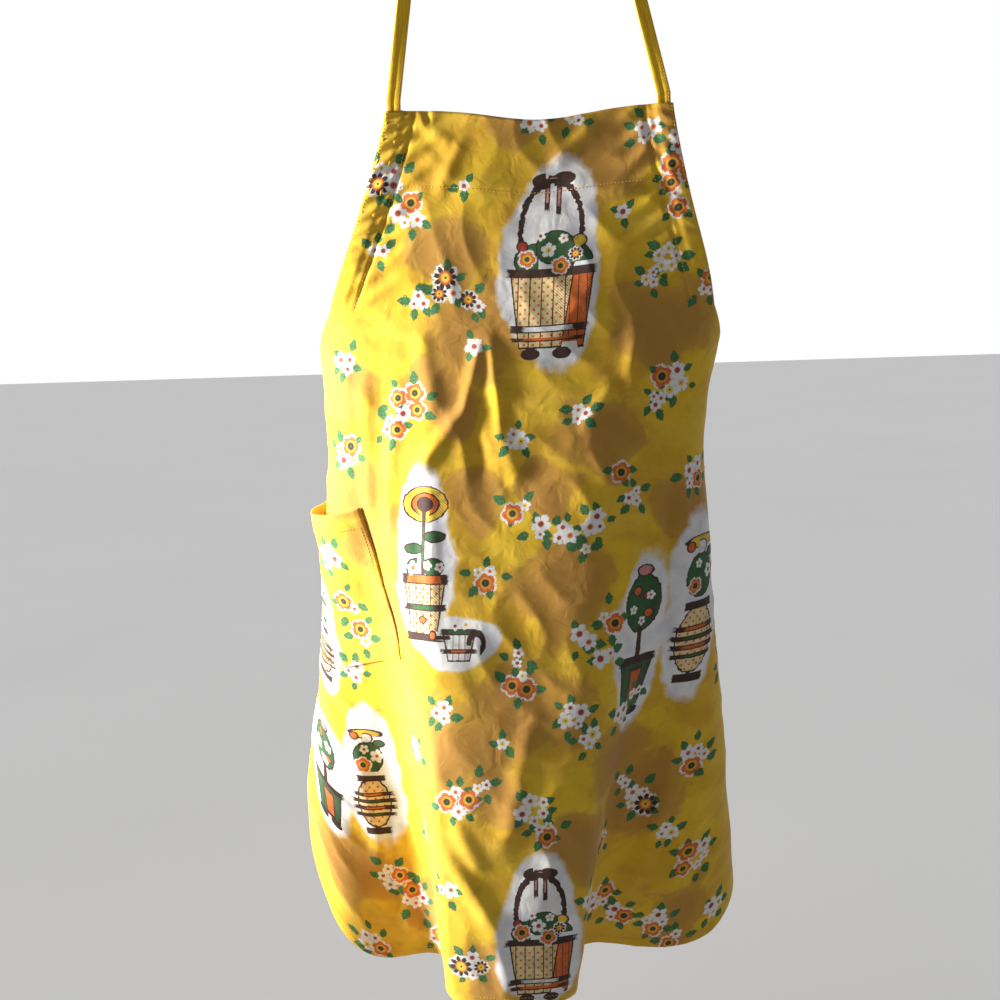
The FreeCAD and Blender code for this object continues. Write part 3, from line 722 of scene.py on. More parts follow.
# --- the print's layout, flat (u, v) in mm ---
# A bouquet is (u, v, blossoms): w white, s small white, o orange, d dark daisy, m small dark.
BOUQUETS = (
    (-130, 60, "wdsw"), (-110, 92, "wows"), (-137, 125, "ss"), (-58, 66, "s"), (-72, 160, "dwm"),
    (-98, 172, "sss"), (-46, 173, "ms"), (-44, 214, "w"), (-171, 229, "sws"), (-105, 268, "ooow"),
    (-122, 290, "oss"), (-172, 316, "wsos"), (90, 95, "w"), (6, 2, "sws"), (42, 3, "ss"),
    (108, 23, "wss"), (139, 33, "wsm"), (138, 62, "ooo"), (140, 88, "os"), (135, 140, "sssss"),
    (120, 158, "sss"), (178, 166, "sso"), (147, 254, "owww"), (132, 272, "sss"), (57, 280, "sss"),
    (-3, 301, "sws"), (98, 338, "o"), (112, 362, "sss"), (183, 346, "wosw"), (2, 367, "os"),
    (23, 386, "ws"), (46, 392, "wss"), (74, 384, "wws"), (66, 408, "s"), (-28, 431, "oss"),
    (66, 492, "ww"), (92, 478, "os"), (88, 512, "ws"), (4, 508, "ss"), (6, 534, "oos"),
    (58, 566, "wsws"), (72, 590, "wss"), (-68, 560, "ssw"), (-111, 604, "wsss"), (-54, 648, "owos"),
    (-30, 632, "ss"), (19, 655, "wsssw"), (30, 678, "oss"), (118, 576, "wws"), (140, 560, "ss"),
    (219, 639, "owss"), (171, 683, "wsds"), (150, 662, "ss"), (241, 755, "oowss"), (218, 830, "wsos"),
    (240, 852, "os"), (280, 830, "wss"), (79, 759, "wsw"), (-191, 765, "wsso"), (-170, 790, "owss"),
    (-223, 846, "owss"), (-43, 818, "dwms"), (-67, 739, "ws"), (128, 720, "ows"), (150, 800, "wosw"),
    (176, 822, "osw"), (-128, 700, "sws"), (-150, 840, "ows"), (255, 560, "wss"), (-290, 560, "wss"),
    (-300, 700, "owss"), (-262, 450, "ws"), (300, 660, "wwss"), (-198, 420, "wwss"), (-186, 468, "os"),
    (-194, 540, "wss"), (-176, 500, "so"), (-10, 590, "s"), (240, 400, "ws"), (-225, 300, "ws"),
    (206, 720, "sws"))
BLOSSOMS = {"w": (1, 8.6), "s": (1, 5.8), "o": (2, 11.0), "d": (3, 12.5), "m": (3, 8.5)}
BLOTCHES = (
    (68, 46, 44), (1, 0, 30), (-70, 127, 30), (-39, 199, 46), (134, 199, 44), (-76, 258, 30),
    (79, 300, 34), (-130, 395, 30), (-181, 349, 34), (-35, 354, 26), (44, 443, 46), (8, 558, 50),
    (-51, 597, 44), (-236, 764, 40), (173, 676, 42), (184, 380, 34), (110, 30, 30), (-98, 560, 26),
    (-190, 250, 36), (120, 620, 40), (66, 700, 40), (-120, 470, 26), (30, 350, 22), (240, 820, 40),
    (-140, 800, 36), (-300, 600, 40), (290, 520, 40), (-10, 820, 34), (-20, 640, 30))
# White grounds: (u, v, half width, half height, drawing).
GROUNDS = (
    (24, 140, 47, 98, "basket"), (-87, 418, 30, 84, "sunflower"), (-54, 493, 40, 26, "can"),
    (130, 504, 33, 90, "topiary"), (196, 478, 37, 98, "urn"), (-233, 509, 27, 64, "urn"),
    (-247, 672, 27, 60, "topiary"), (-196, 656, 32, 74, "urn"), (25, 788, 42, 80, "basket"))
# A drawing's shapes: layer, kind (0 round, 1 box, 2 pot, 3 ring), ink, centre x, y and half sizes,
# in hundredths of the ground's half height, y up. Ink is the place in PALETTE.
DRAWINGS = {
    "basket": (
        (0, 3, 2, 0, 36, 29, 48), (1, 0, 3, -12, 8, 22, 17), (1, 0, 3, 20, 6, 20, 16),
        (3, 0, 3, 4, 20, 18, 16), (2, 2, 0, -7, -40, 25, 36), (1, 2, 1, 20, -42, 18, 35),
        (3, 1, 2, 2, -4, 35, 3.5), (3, 1, 1, 0, -66, 29, 3.5), (3, 1, 6, 0, -58, 30, 3),
        (2, 0, 2, -9, 84, 10, 7), (2, 0, 2, 10, 85, 10, 6), (3, 0, 4, 0, 83, 6, 5),
        (3, 1, 4, -5, 70, 1.8, 10), (3, 1, 4, 6, 68, 1.8, 12), (1, 0, 2, -16, -82, 8, 5),
        (1, 0, 2, 14, -82, 8, 5), (2, 0, 7, -27, 22, 5, 5), (2, 0, 5, 27, 24, 7, 6)),
    "sunflower": (
        (0, 0, 5, 0, 66, 27, 20), (1, 0, 1, 0, 66, 17, 13), (2, 0, 2, 0, 66, 10, 8),
        (1, 1, 3, 0, 20, 2.2, 30), (2, 0, 3, -13, 16, 12, 6), (3, 0, 3, 13, 30, 12, 6),
        (2, 2, 0, 0, -48, 22, 32), (3, 1, 1, 0, -18, 25, 5), (3, 1, 3, 0, -50, 21, 3),
        (3, 0, 1, 0, -64, 5, 4), (1, 1, 2, 0, -83, 20, 4), (0, 0, 3, -10, -6, 13, 11),
        (0, 0, 3, 12, -4, 12, 10)),
    "can": (
        (0, 2, 6, 10, -10, 48, 55), (1, 1, 3, 10, 40, 50, 9), (2, 3, 2, 72, 0, 26, 36),
        (2, 1, 2, -56, 20, 22, 5), (3, 0, 1, -84, 28, 12, 16), (2, 1, 1, 10, -30, 44, 6)),
    "topiary": (
        (0, 0, 3, 0, 42, 23, 32), (1, 0, 1, -8, 56, 6, 5), (1, 0, 1, 10, 30, 6, 5),
        (2, 0, 7, 5, 50, 4.5, 4), (3, 0, 4, 0, 78, 10, 6), (1, 1, 2, 0, -6, 2.8, 18),
        (2, 2, 3, 0, -50, 22, 28), (3, 2, 1, 2, -54, 8, 22), (3, 1, 2, 0, -21, 24, 4),
        (1, 0, 2, -11, -84, 8, 5), (1, 0, 2, 11, -84, 8, 5)),
    "urn": (
        (0, 0, 0, 0, -34, 22, 36), (1, 0, 3, 0, 32, 20, 22), (2, 1, 1, 0, -22, 19, 2.2),
        (3, 1, 3, 0, -32, 20.5, 2), (2, 1, 1, 0, -42, 20, 2.2), (3, 1, 3, 0, -52, 18, 1.8),
        (1, 1, 2, 0, 2, 15, 3.5), (1, 1, 2, 0, -76, 14, 4), (2, 0, 5, 0, 66, 22, 6),
        (3, 0, 6, 0, 60, 9, 7), (3, 0, 1, -16, 62, 6, 5), (2, 0, 3, 17, 52, 8, 5))}
# Blossoms among a drawing's leaves: kind and centre, in the same hundredths.
DRAWN_BLOSSOMS = {
    "basket": (
        ("o", -22, 10), ("m", 24, 12), ("w", -2, 18), ("o", 10, 2), ("s", -10, 32), ("s", 12, 28)),
    "sunflower": (
        ("w", -14, -6), ("s", 6, -2), ("s", 20, -4)),
    "can": (
        ("s", -5, 62), ("s", 34, 66)),
    "topiary": (
        ("s", -12, 36), ("s", 10, 50), ("s", 2, 22)),
    "urn": (
        ("o", -8, 22), ("w", 12, 34), ("s", -4, 44))}
GOLDEN_TURN = 2.399963


def bouquet_items():
    """Blossoms (u, v, radius, kind, seed) and leaves (u, v, length, angle) of every bouquet."""
    random = np.random.default_rng(17)
    blossoms, leaves = [], []
    for number, (u, v, kinds) in enumerate(BOUQUETS):
        start = number * GOLDEN_TURN
        sizes = [BLOSSOMS[kind][1] for kind in kinds]
        ring = 0.0 if len(kinds) == 1 else sum(sizes) / math.pi * (1.22 if len(kinds) == 2 else 0.92)
        turn = start
        for kind, size in zip(kinds, sizes):
            turn += math.pi * size / sum(sizes)
            radius = size * random.uniform(0.88, 1.12)
            away = ring * random.uniform(0.80, 1.15)
            blossoms.append((u + away * math.cos(turn), v + away * math.sin(turn),
                             radius, BLOSSOMS[kind][0], random.uniform(0.02, 0.95)))
            turn += math.pi * size / sum(sizes)
        count = 2 + len(kinds)
        for k in range(count):
            turn = start + k * 2 * math.pi / count + random.uniform(-0.3, 0.3)
            base = ring + sizes[k % len(sizes)] * random.uniform(0.35, 0.85)
            leaves.append((u + base * math.cos(turn), v + base * math.sin(turn),
                           random.uniform(9.5, 14.5), turn + random.uniform(-0.7, 0.7)))
    return blossoms, leaves


def drawing_items():
    """Shapes (u, v, half width, half height, kind, ink) by layer, and blossoms, of the drawings."""
    shapes = [[] for _ in range(SHAPE_LAYERS)]
    blossoms = []
    for number, (u, v, _, tall, drawing) in enumerate(GROUNDS):
        unit = tall / 100.0
        for layer, kind, ink, x, y, wide, high in DRAWINGS[drawing]:
            shapes[layer].append((u + x * unit, v - y * unit, wide * unit, high * unit, kind, ink))
        for k, (letter, x, y) in enumerate(DRAWN_BLOSSOMS[drawing]):
            code, radius = BLOSSOMS[letter]
            seed = (0.13 + 0.37 * k + 0.2 * number) % 0.95
            blossoms.append((u + x * unit, v - y * unit, radius * 0.8, code, seed))
    return shapes, blossoms


def spread(items, reach, count):
    """Deals items out to layers so that those in one layer stay apart."""
    layers = [[] for _ in range(count)]
    for item in items:
        room = []
        for layer in layers:
            gaps = [math.hypot(item[0] - other[0], item[1] - other[1]) - reach(item) - reach(other)
                    for other in layer]
            room.append(min(gaps, default=1e3))
        layers[room.index(max(room))].append(item)
    return layers


def leaf_centre(leaf):
    """The same leaf, placed by its middle instead of its stalk."""
    u, v, length, turn = leaf
    return (u + 0.5 * length * math.cos(turn), v + 0.5 * length * math.sin(turn), length, turn)


BOUQUET_BLOSSOMS, LEAVES = bouquet_items()
SHAPES, DRAWN = drawing_items()
BLOOM_SETS = spread(BOUQUET_BLOSSOMS + DRAWN, lambda item: item[2] * 1.3, BLOOM_LAYERS)
LEAF_SETS = spread([leaf_centre(leaf) for leaf in LEAVES], lambda item: item[2] * 0.55, LEAF_LAYERS)


# A stamp is how an item marks the faces that it lies on: (u, v), turn, how far it reaches along and
# across itself, its size each way, the place of its middle along it, and its code.
def shape_stamp(u, v, wide, high, kind, ink):
    size = min(min(wide, high) / 100.0, 0.99)
    return u, v, 0.0, wide * 1.35, high * 1.2, wide, -high, 0.0, kind * 8 + ink + size


def leaf_stamp(u, v, length, turn):
    return u, v, turn, length * 0.5, length * 0.45, length, length, 0.5, 1.0


def bloom_stamp(u, v, radius, code, seed):
    reach = radius * 1.35
    return u, v, 0.0, reach, reach, radius, radius, 0.0, code + seed


STAMPS = {}
for prefix, layers, stamp in (("shape", SHAPES, shape_stamp), ("leaf", LEAF_SETS, leaf_stamp),
                              ("bloom", BLOOM_SETS, bloom_stamp)):
    for number, items in enumerate(layers):
        STAMPS["%s_%d" % (prefix, number)] = [stamp(*item) for item in items]
SLACK = 3.5     # faces up to this far outside an item, in mm, also learn their place on it


def stamped(stamps, flat):
    """Each face's corners as (along, across, code) of the item that lies on it, or zeros."""
    values = np.zeros(flat.shape[:2] + (3,))
    middle = flat.mean(axis=1)
    for u, v, turn, reach_x, reach_y, size_x, size_y, start, code in stamps:
        c, s = math.cos(turn), math.sin(turn)
        du, dv = middle[:, 0] - u, middle[:, 1] - v
        near = (np.abs(du * c + dv * s) < reach_x + SLACK) & (np.abs(dv * c - du * s) < reach_y + SLACK)
        du, dv = flat[near, :, 0] - u, flat[near, :, 1] - v
        x = (du * c + dv * s) / size_x + start
        values[near] = np.stack([x, (dv * c - du * s) / size_y, np.full_like(x, code)], axis=-1)
    return values


def stain_depth(u, v):
    """1 in the middle of an ochre blotch, 0 away from them all."""
    bent_u = u + 9 * ripples(u, v, 5, 50, 120, 21)
    bent_v = v + 9 * ripples(u, v, 5, 50, 120, 22)
    depth = np.zeros(len(u))
    for middle_u, middle_v, radius in BLOTCHES:
        away = np.hypot((bent_u - middle_u) / 1.2, bent_v - middle_v) / radius
        depth = np.maximum(depth, np.exp(-(away / 1.05) ** 2.4))
    return depth


def outside_white(u, v):
    """Distance in mm outside the nearest white ground, negative within it."""
    distance = np.full(len(u), 60.0)
    for middle_u, middle_v, wide, tall, _ in GROUNDS:
        du, dv = u - middle_u, v - middle_v
        turn = np.arctan2(dv, du)
        lumpy = 1.0 + 0.07 * np.sin(3 * turn + middle_u) + 0.05 * np.sin(5 * turn + middle_v)
        distance = np.minimum(distance, (np.hypot(du / wide, dv / tall) - lumpy) * wide)
    return distance


def dress(piece):
    """Writes the print's layout to a cloth mesh."""
    mesh = piece.data
    points = np.zeros(len(mesh.vertices) * 3, np.float32)
    mesh.attributes["flat"].data.foreach_get("vector", points)
    points = points.reshape(-1, 3)[:, :2].astype(float)
    corners = np.zeros(len(mesh.polygons) * 4, np.int32)
    mesh.loops.foreach_get("vertex_index", corners)
    flat = points[corners].reshape(-1, 4, 2)
    for name, stamps in STAMPS.items():
        write_attribute(mesh, name, "FLOAT_VECTOR", "CORNER", stamped(stamps, flat))
    write_attribute(mesh, "blotch", "FLOAT", "POINT", stain_depth(points[:, 0], points[:, 1]))
    write_attribute(mesh, "white", "FLOAT", "POINT", outside_white(points[:, 0], points[:, 1]))


# --- bands: the ties and the strap ---
# Section of the folded band, (across, through) in mm: creased down its middle, open on one edge.
HALF_PROFILE = (
    (-6.45, 0.25), (-6.2, 0.80), (-5.4, 1.12), (-3.4, 1.20), (-1.2, 1.12), (-0.2, 0.72), (0.2, 0.72),
    (1.2, 1.12), (3.4, 1.20), (5.4, 1.15), (6.3, 0.92), (6.45, 0.30), (6.1, 0.0))
BAND_PROFILE = HALF_PROFILE + tuple((a, -t) for a, t in HALF_PROFILE[-2::-1])
STITCH_IN, STITCH_UP = 4.6, 1.15     # the band's stitches: off its middle line and middle plane


def spline_points(route):
    """Points along the smooth curve that a route's points control."""
    data = bpy.data.curves.new("route", "CURVE")
    data.dimensions, data.resolution_u = "3D", 12
    spline = data.splines.new("NURBS")
    spline.points.add(len(route) - 1)
    for point, where in zip(spline.points, route):
        point.co = (*where, 1.0)
    spline.order_u = 3
    spline.use_endpoint_u = True
    holder = bpy.data.objects.new("route", data)
    bpy.context.collection.objects.link(holder)
    mesh = bpy.data.meshes.new_from_object(holder)
    points = np.array([vertex.co[:] for vertex in mesh.vertices])
    bpy.data.objects.remove(holder)
    bpy.data.meshes.remove(mesh)
    return points


def square_across(points, across):
    """Unit width directions made square to a line of points, and the directions through the band."""
    tangent = unit(np.gradient(points, axis=0))
    across = unit(across - tangent * (across * tangent).sum(axis=1, keepdims=True))
    return across, np.cross(tangent, across)


def sweep_band(name, points, across, scale=1.0):
    """Closed band along points; `across` is its width direction at each of them."""
    across, through = square_across(points, across)
    section = np.array(BAND_PROFILE) * MM
    size = np.broadcast_to(scale, len(points))[:, None, None]
    rings = (points[:, None] + across[:, None] * section[None, :, :1] * size
             + through[:, None] * section[None, :, 1:] * size)
    count, around = len(points), len(section)
    flat = np.zeros((count, around, 3))
    flat[..., 0] = section[None, :, 0] / MM
    flat[..., 1] = run_along(points)[:, None] / MM
    first, last = list(range(around)), list(range((count - 1) * around, count * around))
    faces = ring_faces(count, around).tolist() + [first[::-1], last]
    return add_mesh(name, rings, faces, [STRAP], flat), through


def edge_stitch(name, points, across, through):
    """Line of stitches down one side of a band, near its open edge."""
    across, _ = square_across(points, across)
    line = points + across * STITCH_IN * MM + through * STITCH_UP * MM
    return sew(name, line, through, pitch=3.0, stitch=2.2, thick=0.22)


# --- waist ties, in mm ---
# A tie leaves its casing's mouth, falls back and inwards over the first part of its length, then
# hangs with three slight bends: share of the fall, aside and back.
TIE_MOUTH = {"left": (-155.9, -75.3, -770.6), "right": (190.2, -78.8, -770.1)}
TIE_INWARDS = {"left": 14.0, "right": 38.0}
TIE_BACK, TIE_SETTLE, TIE_FALL, TIE_TUCK = 30.0, 0.32, 400.0, 0.6
TIE_BENDS = {
    "left": ((0.475, -2.1, 1.8), (0.65, 2.1, -1.7), (0.82, -1.3, 1.3)),
    "right": ((0.48725, 2.3, 1.8), (0.66225, -2.0, -1.7), (0.83725, 1.4, 1.3))}
TIE_MOUTH_ACROSS = {"left": (0.884, -0.467, 0.0), "right": (0.840, 0.543, 0.0)}
# An overhand knot of the band, as points (up, aside, back) in mm from its middle.
KNOT_LINE = (
    (16, 0.0, 0.0), (11, 0.4, 2.4), (6, 1.2, 4.4), (0, -2.5, 4.8), (-7, -7.0, 2.8), (-9, -1.0, 0.4),
    (-5, 5.4, -1.6), (0.5, 8.2, 0.2), (6.5, 5.0, 2.2), (8.5, -1.0, 2.0), (4.5, -7.2, -0.6),
    (-1.5, -6.4, -3.6), (-6, -1.6, -5.0), (-10, 0.6, -3.0), (-16, 0.0, -0.6), (-30, 0.0, 0.6))
KNOT_BELOW = 0.010      # from the end of the tie down to the knot's middle


def tie_knot(side, top):
    """The knot and its short tail, below the end of the tie."""
    centre = Vector(top) + Vector((0, 0, -KNOT_BELOW))
    points = spline_points([centre + Vector((aside, back, up)) * MM for up, aside, back in KNOT_LINE])
    share = np.linspace(0, 1, len(points))
    across = unit(np.cross(np.gradient(points, axis=0), (0.0, 1.0, 0.0)))
    level = (np.clip((share - 0.82) / 0.1, 0, 1) + np.clip((0.12 - share) / 0.1, 0, 1))[:, None]
    across = across * (1 - level) + np.array([-1.0, 0.0, 0.0]) * level
    squeeze = 1.0 - 0.42 * np.exp(-((share - 0.45) / 0.28) ** 4)
    piece, _ = sweep_band("tie_knot_%s_cloth" % side, points, across, scale=squeeze)
    fit_out(piece, "tie_" + side, "strap_cotton", "tie_knot_" + side)
    return piece


def tie_route(side):
    """Points of one tie, in metres, from inside its casing's mouth to its knot."""
    x, y, z = TIE_MOUTH[side]
    falling = [(share * TIE_SETTLE, 0.0, 0.0) for share in (0.0, 0.25, 0.5, 0.75, 1.0)]
    route = []
    for share, aside, back in falling + list(TIE_BENDS[side]) + [(1.0, 0.0, 0.0)]:
        settled = math.sin(math.pi / 2 * min(share / TIE_SETTLE, 1.0))
        tuck = TIE_TUCK if share == 0.0 else 0.0
        point = (x - SIGN[side] * TIE_INWARDS[side] * settled + aside,
                 y + TIE_BACK * settled + back, z - share * TIE_FALL + tuck)
        route.append(tuple(round(value * MM, 4) for value in point))
    return route


def waist_tie(side):
    """The limp band that hangs from the casing's lower mouth."""
    route = tie_route(side)
    points = spline_points(route)
    share = np.linspace(0, 1, len(points))
    settled = np.clip(share / 0.32, 0, 1)[:, None]
    wander = 0.30 * np.sin(share * 9.0 + SIGN[side]) * settled[:, 0]
    front = np.stack([np.cos(wander), np.sin(wander), np.zeros_like(share)], axis=-1)
    across = np.array([TIE_MOUTH_ACROSS[side]]) * (1 - settled) + front * settled
    tie, through = sweep_band("waist_tie_%s_cloth" % side, points, across)
    knot = tie_knot(side, route[-1])
    stitches = edge_stitch("waist_tie_%s_stitches" % side, points, across, through)
    fit_out(tie, "tie_" + side, "strap_cotton", "waist_tie_" + side)
    fit_out(stitches, "tie_" + side, "strap_cotton")


for side in SIGN:
    waist_tie(side)

# --- neck strap ---
LEG_POINTS, CASING_POINTS = 90, 60


def leg_slope(side):
    """How far one leg leans off the vertical, in radians."""
    return math.atan2(abs(MOUTH_X[side]) - SEAT_RADIUS, abs(BIB_TOP_Z))


def neck_leg(side):
    """One leg of the neck strap with its run down through the casing, one folded band."""
    slope, sign = leg_slope(side), SIGN[side]
    top = np.array([sign * SEAT_RADIUS * math.cos(slope), HANG_Y, SEAT_RADIUS * math.sin(slope)])
    mouth = np.array([MOUTH_X[side], HANG_Y, BIB_TOP_Z + 4.2])
    free = [top + (mouth - top) * share for share in np.linspace(0.022, 0.992, LEG_POINTS)]
    depths = np.linspace(7.0, CASING_BOTTOM + 1.0, CASING_POINTS)
    middle = half_width(depths) - 9.0
    hidden = place(sign * middle, depths, -CLOTH - 2.0) / MM
    points = np.vstack([np.array(free), hidden]) * MM
    share = np.clip(np.linspace(0, len(points) / LEG_POINTS, len(points)), 0, 1)
    turn = np.radians(90.0 * share)
    across = np.stack([np.sin(turn), np.cos(turn), np.zeros_like(turn)], axis=-1)
    along_cloth = place(sign * middle + 4, depths) - place(sign * middle - 4, depths)
    across[LEG_POINTS:] = unit(along_cloth)
    piece, through = sweep_band("neck_strap_%s_cloth" % side, points, across)
    seen = LEG_POINTS + 2
    stitches = edge_stitch("neck_strap_%s_stitches" % side, points[:seen], across[:seen], through[:seen])
    for part in (piece, stitches):
        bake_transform(part)
    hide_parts("neck_strap_" + side, "casing_strap_" + side)


def strap_bight():
    """The stretch of the band over the hook's arm."""
    left, right = leg_slope("left"), leg_slope("right")
    turns = np.linspace(right, math.pi - left, 33)
    arc = np.stack([np.cos(turns), np.zeros_like(turns), np.sin(turns)], axis=-1) * SEAT_RADIUS
    arc[:, 1] = HANG_Y
    steps = np.linspace(16.0, 1.5, 10)[:, None]
    right_end = arc[0] + np.array([math.sin(right), 0, -math.cos(right)]) * steps
    left_end = arc[-1] + np.array([-math.sin(left), 0, -math.cos(left)]) * steps[::-1]
    points = np.vstack([right_end, arc, left_end]) * MM
    across = np.tile([0.0, 1.0, 0.0], (len(points), 1))
    piece, _ = sweep_band("strap_over_hook_cloth", points, across, scale=1.02)
    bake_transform(piece)
    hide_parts("strap_over_hook")


for side in SIGN:
    neck_leg(side)
strap_bight()

# --- apron ---
PANEL_COLUMNS, PANEL_ROWS, CORNER_ROWS = 259, 325, 36
HEM_INSETS = (10.8, 10.2, 8.0, 4.0, 1.2, 0.3)
HEM_LEVELS = (-0.65, -0.75, -0.8, -0.8, -0.75, -0.2)
HEM_THICK, HEM_STITCH_IN, STITCH_LIFT = 0.9, 8.6, 0.05
# The casing's cloth: how far in from the edge, and how far it stands off the panel's back.
CASING_INSETS = np.array([0.1, 0.8, 2.0, 4.0, 7.0, 10.0, 13.0, 16.0, 18.5, 21.0, 24.0, CASING_WIDTH])
CASING_LIFTS = np.array([0.1, 1.6, 2.9, 3.3, 3.4, 3.4, 3.3, 2.9, 1.9, 0.8, 0.3, 0.15])
POCKET_HEM, POCKET_SEAM = 18.0, 5.0     # its stitches: below the mouth, and in from the other edges
POCKET_THICK = 1.35                     # where it is turned under


def corner_depths(count):
    """Depths round the skirt's lower corner, closer together near the hem."""
    return LENGTH - HEM_CORNER + HEM_CORNER * np.sin(np.linspace(0, math.pi / 2, count + 1)[1:])


def across_cloth(depths, columns, inset=0.0):
    """Grid of flat points over the cloth's whole width, less `inset` at each side."""
    u = np.linspace(-1, 1, columns)[None, :] * (half_width(depths) - inset)[:, None]
    return u, np.repeat(depths[:, None], columns, axis=1)


def apron_panel():
    """The one piece of printed cloth, bib and skirt."""
    straight = np.linspace(0.0, LENGTH - HEM_CORNER, PANEL_ROWS - CORNER_ROWS)
    depths = np.concatenate([straight, corner_depths(CORNER_ROWS)])
    u, v = across_cloth(depths, PANEL_COLUMNS)
    panel = add_layer("apron_panel_cloth", u, v, 0.0, -CLOTH, [PRINT_FACE, PRINT_BACK])
    dress(panel)
    fit_out(panel, "apron", "printed_cotton", "apron_panel")
    return panel


def border_line(inset):
    """Line along the skirt's edge from one armhole round the hem to the other, `inset` mm in."""
    v = np.concatenate([np.linspace(CASING_BOTTOM + 2, LENGTH - HEM_CORNER, 200), corner_depths(59)])
    u = half_width(v)
    hem = np.linspace(u[-1], -u[-1], 200)[1:-1]
    u = np.concatenate([u, hem, -u[::-1]])
    v = np.concatenate([v, np.full(len(hem), LENGTH), v[::-1]])
    du, dv = np.gradient(u), np.gradient(v)
    away = np.stack([-dv, du]) / np.hypot(du, dv)
    for _ in range(6):
        away[:, 1:-1] = (away[:, :-2] + away[:, 1:-1] + away[:, 2:]) / 3
    away /= np.hypot(*away)
    return u + away[0] * inset, v + away[1] * inset


def hem_fold():
    """The skirt's edge, turned back twice and stitched."""
    lines = [border_line(inset) for inset in HEM_INSETS]
    u, v = np.transpose(lines, (1, 2, 0))
    outer = np.broadcast_to(HEM_LEVELS, u.shape)
    fold = add_layer("skirt_hem", u, v, outer, outer - HEM_THICK, [PRINT_BACK, PRINT_FACE])
    dress(fold)
    fit_out(fold, "apron", "printed_cotton")
    return fold


def add_facing(node, u, v, outer, cut_from):
    """Strip stitched to the apron's back, cut from elsewhere on the printed cloth."""
    strip = add_layer(node + "_cloth", u, v, outer, outer - CLOTH, [PRINT_BACK, PRINT_FACE], cut_from)
    dress(strip)
    fit_out(strip, "apron", "lining_cotton", node)


def bib_facing():
    """Strip behind the bib's top."""
    depths = np.linspace(0.5, FACING_DEPTH, 36)
    u, v = across_cloth(depths, 90, inset=CASING_WIDTH + 1.0)
    add_facing("bib_facing", u, v, -CLOTH - 0.15, (37.0, 410.0))


def armhole_facing(side):
    """The casing's inner wall, a puckered channel round the strap."""
    sign = SIGN[side]
    way = -int(sign)
    inset, lift = CASING_INSETS[::way], CASING_LIFTS[None, ::way]
    depths = np.linspace(0.5, CASING_BOTTOM, 90)
    v = np.repeat(depths[:, None], len(inset), axis=1)
    u = sign * (half_width(depths)[:, None] - inset[None, :])
    pucker = 0.5 * np.sin(v / 2.6 + u / 9.0) * (lift > 1.0)
    add_facing("armhole_facing_" + side, u, v, -CLOTH - lift - pucker, (150.0 * sign, 300.0))


def pocket_place(p, q):
    """Flat place of the pocket's point: p out from its inner edge, q down."""
    u = POCKET_CORNER[0] - p * math.cos(POCKET_TURN) + q * math.sin(POCKET_TURN)
    v = POCKET_CORNER[1] + p * math.sin(POCKET_TURN) + q * math.cos(POCKET_TURN)
    return u, v


def pocket_gap(p, q):
    """How far the patch stands off the panel: open at its mouth, closed below."""
    arch = np.sin(math.pi * np.clip(p / POCKET_WIDTH, 0, 1))
    down = np.clip(1.0 - q / (0.8 * POCKET_HEIGHT), 0, None) ** 1.6
    puffed = 1.6 * arch * np.sin(math.pi * np.clip(q / POCKET_HEIGHT, 0, 1))
    return 0.35 + POCKET_GAPE * arch ** 0.8 * down + puffed


def pocket_stitches(name, p, q):
    """Row of stitches on the pocket."""
    u, v = pocket_place(p, q)
    return sew_cloth(name, u, v, pocket_gap(p, q) + POCKET_THICK)


def pocket():
    """Patch pocket: hemmed mouth, sides and bottom turned under and topstitched."""
    across, down = np.linspace(POCKET_WIDTH, 0, 57), np.linspace(0, POCKET_HEIGHT, 70)
    q, p = np.meshgrid(down, across, indexing="ij")
    u, v = pocket_place(p, q)
    gap = pocket_gap(p, q)
    rim = np.minimum(np.minimum(p, POCKET_WIDTH - p), POCKET_HEIGHT - q)
    turned = 0.55 * rise(7.5 - rim, 0.0, 0.7) + 0.5 * rise(19.0 - q, 0.0, 0.8)
    turned = turned - 0.35 * bell(rim - 5.2, 0.8)
    patch = add_layer("pocket_patch_cloth", u, v, gap + 0.8 + turned, gap, [PRINT_FACE, PRINT_BACK])
    dress(patch)
    far, low = POCKET_WIDTH - POCKET_SEAM, POCKET_HEIGHT - POCKET_SEAM
    side_q, bottom_p = np.linspace(1.5, low, 90), np.linspace(POCKET_SEAM, far, 70)
    p = np.concatenate([np.full(90, POCKET_SEAM), bottom_p, np.full(90, far)])
    q = np.concatenate([side_q, np.full(70, low), side_q[::-1]])
    mouth = np.linspace(1.0, POCKET_WIDTH - 1.0, 70)
    seams = [pocket_stitches("pocket_stitches", p, q),
             pocket_stitches("pocket_mouth_stitches", mouth, np.full(70, POCKET_HEM))]
    fit_out(patch, "apron", "printed_cotton", "pocket_patch")
    for seam in seams:
        fit_out(seam, "apron", "printed_cotton")


def panel_stitches():
    """Rows of stitches that show on the apron's face: its name, and its line, for each."""
    lines = {}
    for side, sign in SIGN.items():
        for seam, top, inset in (("casing", 1.0, CASING_WIDTH - 1.5), ("armhole", 2.0, 1.8)):
            v = np.linspace(top, CASING_BOTTOM, 120)
            lines["%s_stitches_%s" % (seam, side)] = sign * (half_width(v) - inset), v
    edge = float(half_width(FACING_DEPTH)) - CASING_WIDTH
    lines["bib_stitches"] = np.linspace(-edge, edge, 160), np.full(160, FACING_DEPTH - 2.0)
    lines["hem_stitches"] = border_line(HEM_STITCH_IN)
    rows = [sew_cloth(name, u, v, STITCH_LIFT) for name, (u, v) in lines.items()]
    for row in rows:
        fit_out(row, "apron", "strap_cotton")
    return rows


panel = apron_panel()
sewn_on = [hem_fold()] + panel_stitches()
bib_facing()
for side in SIGN:
    armhole_facing(side)
pocket()

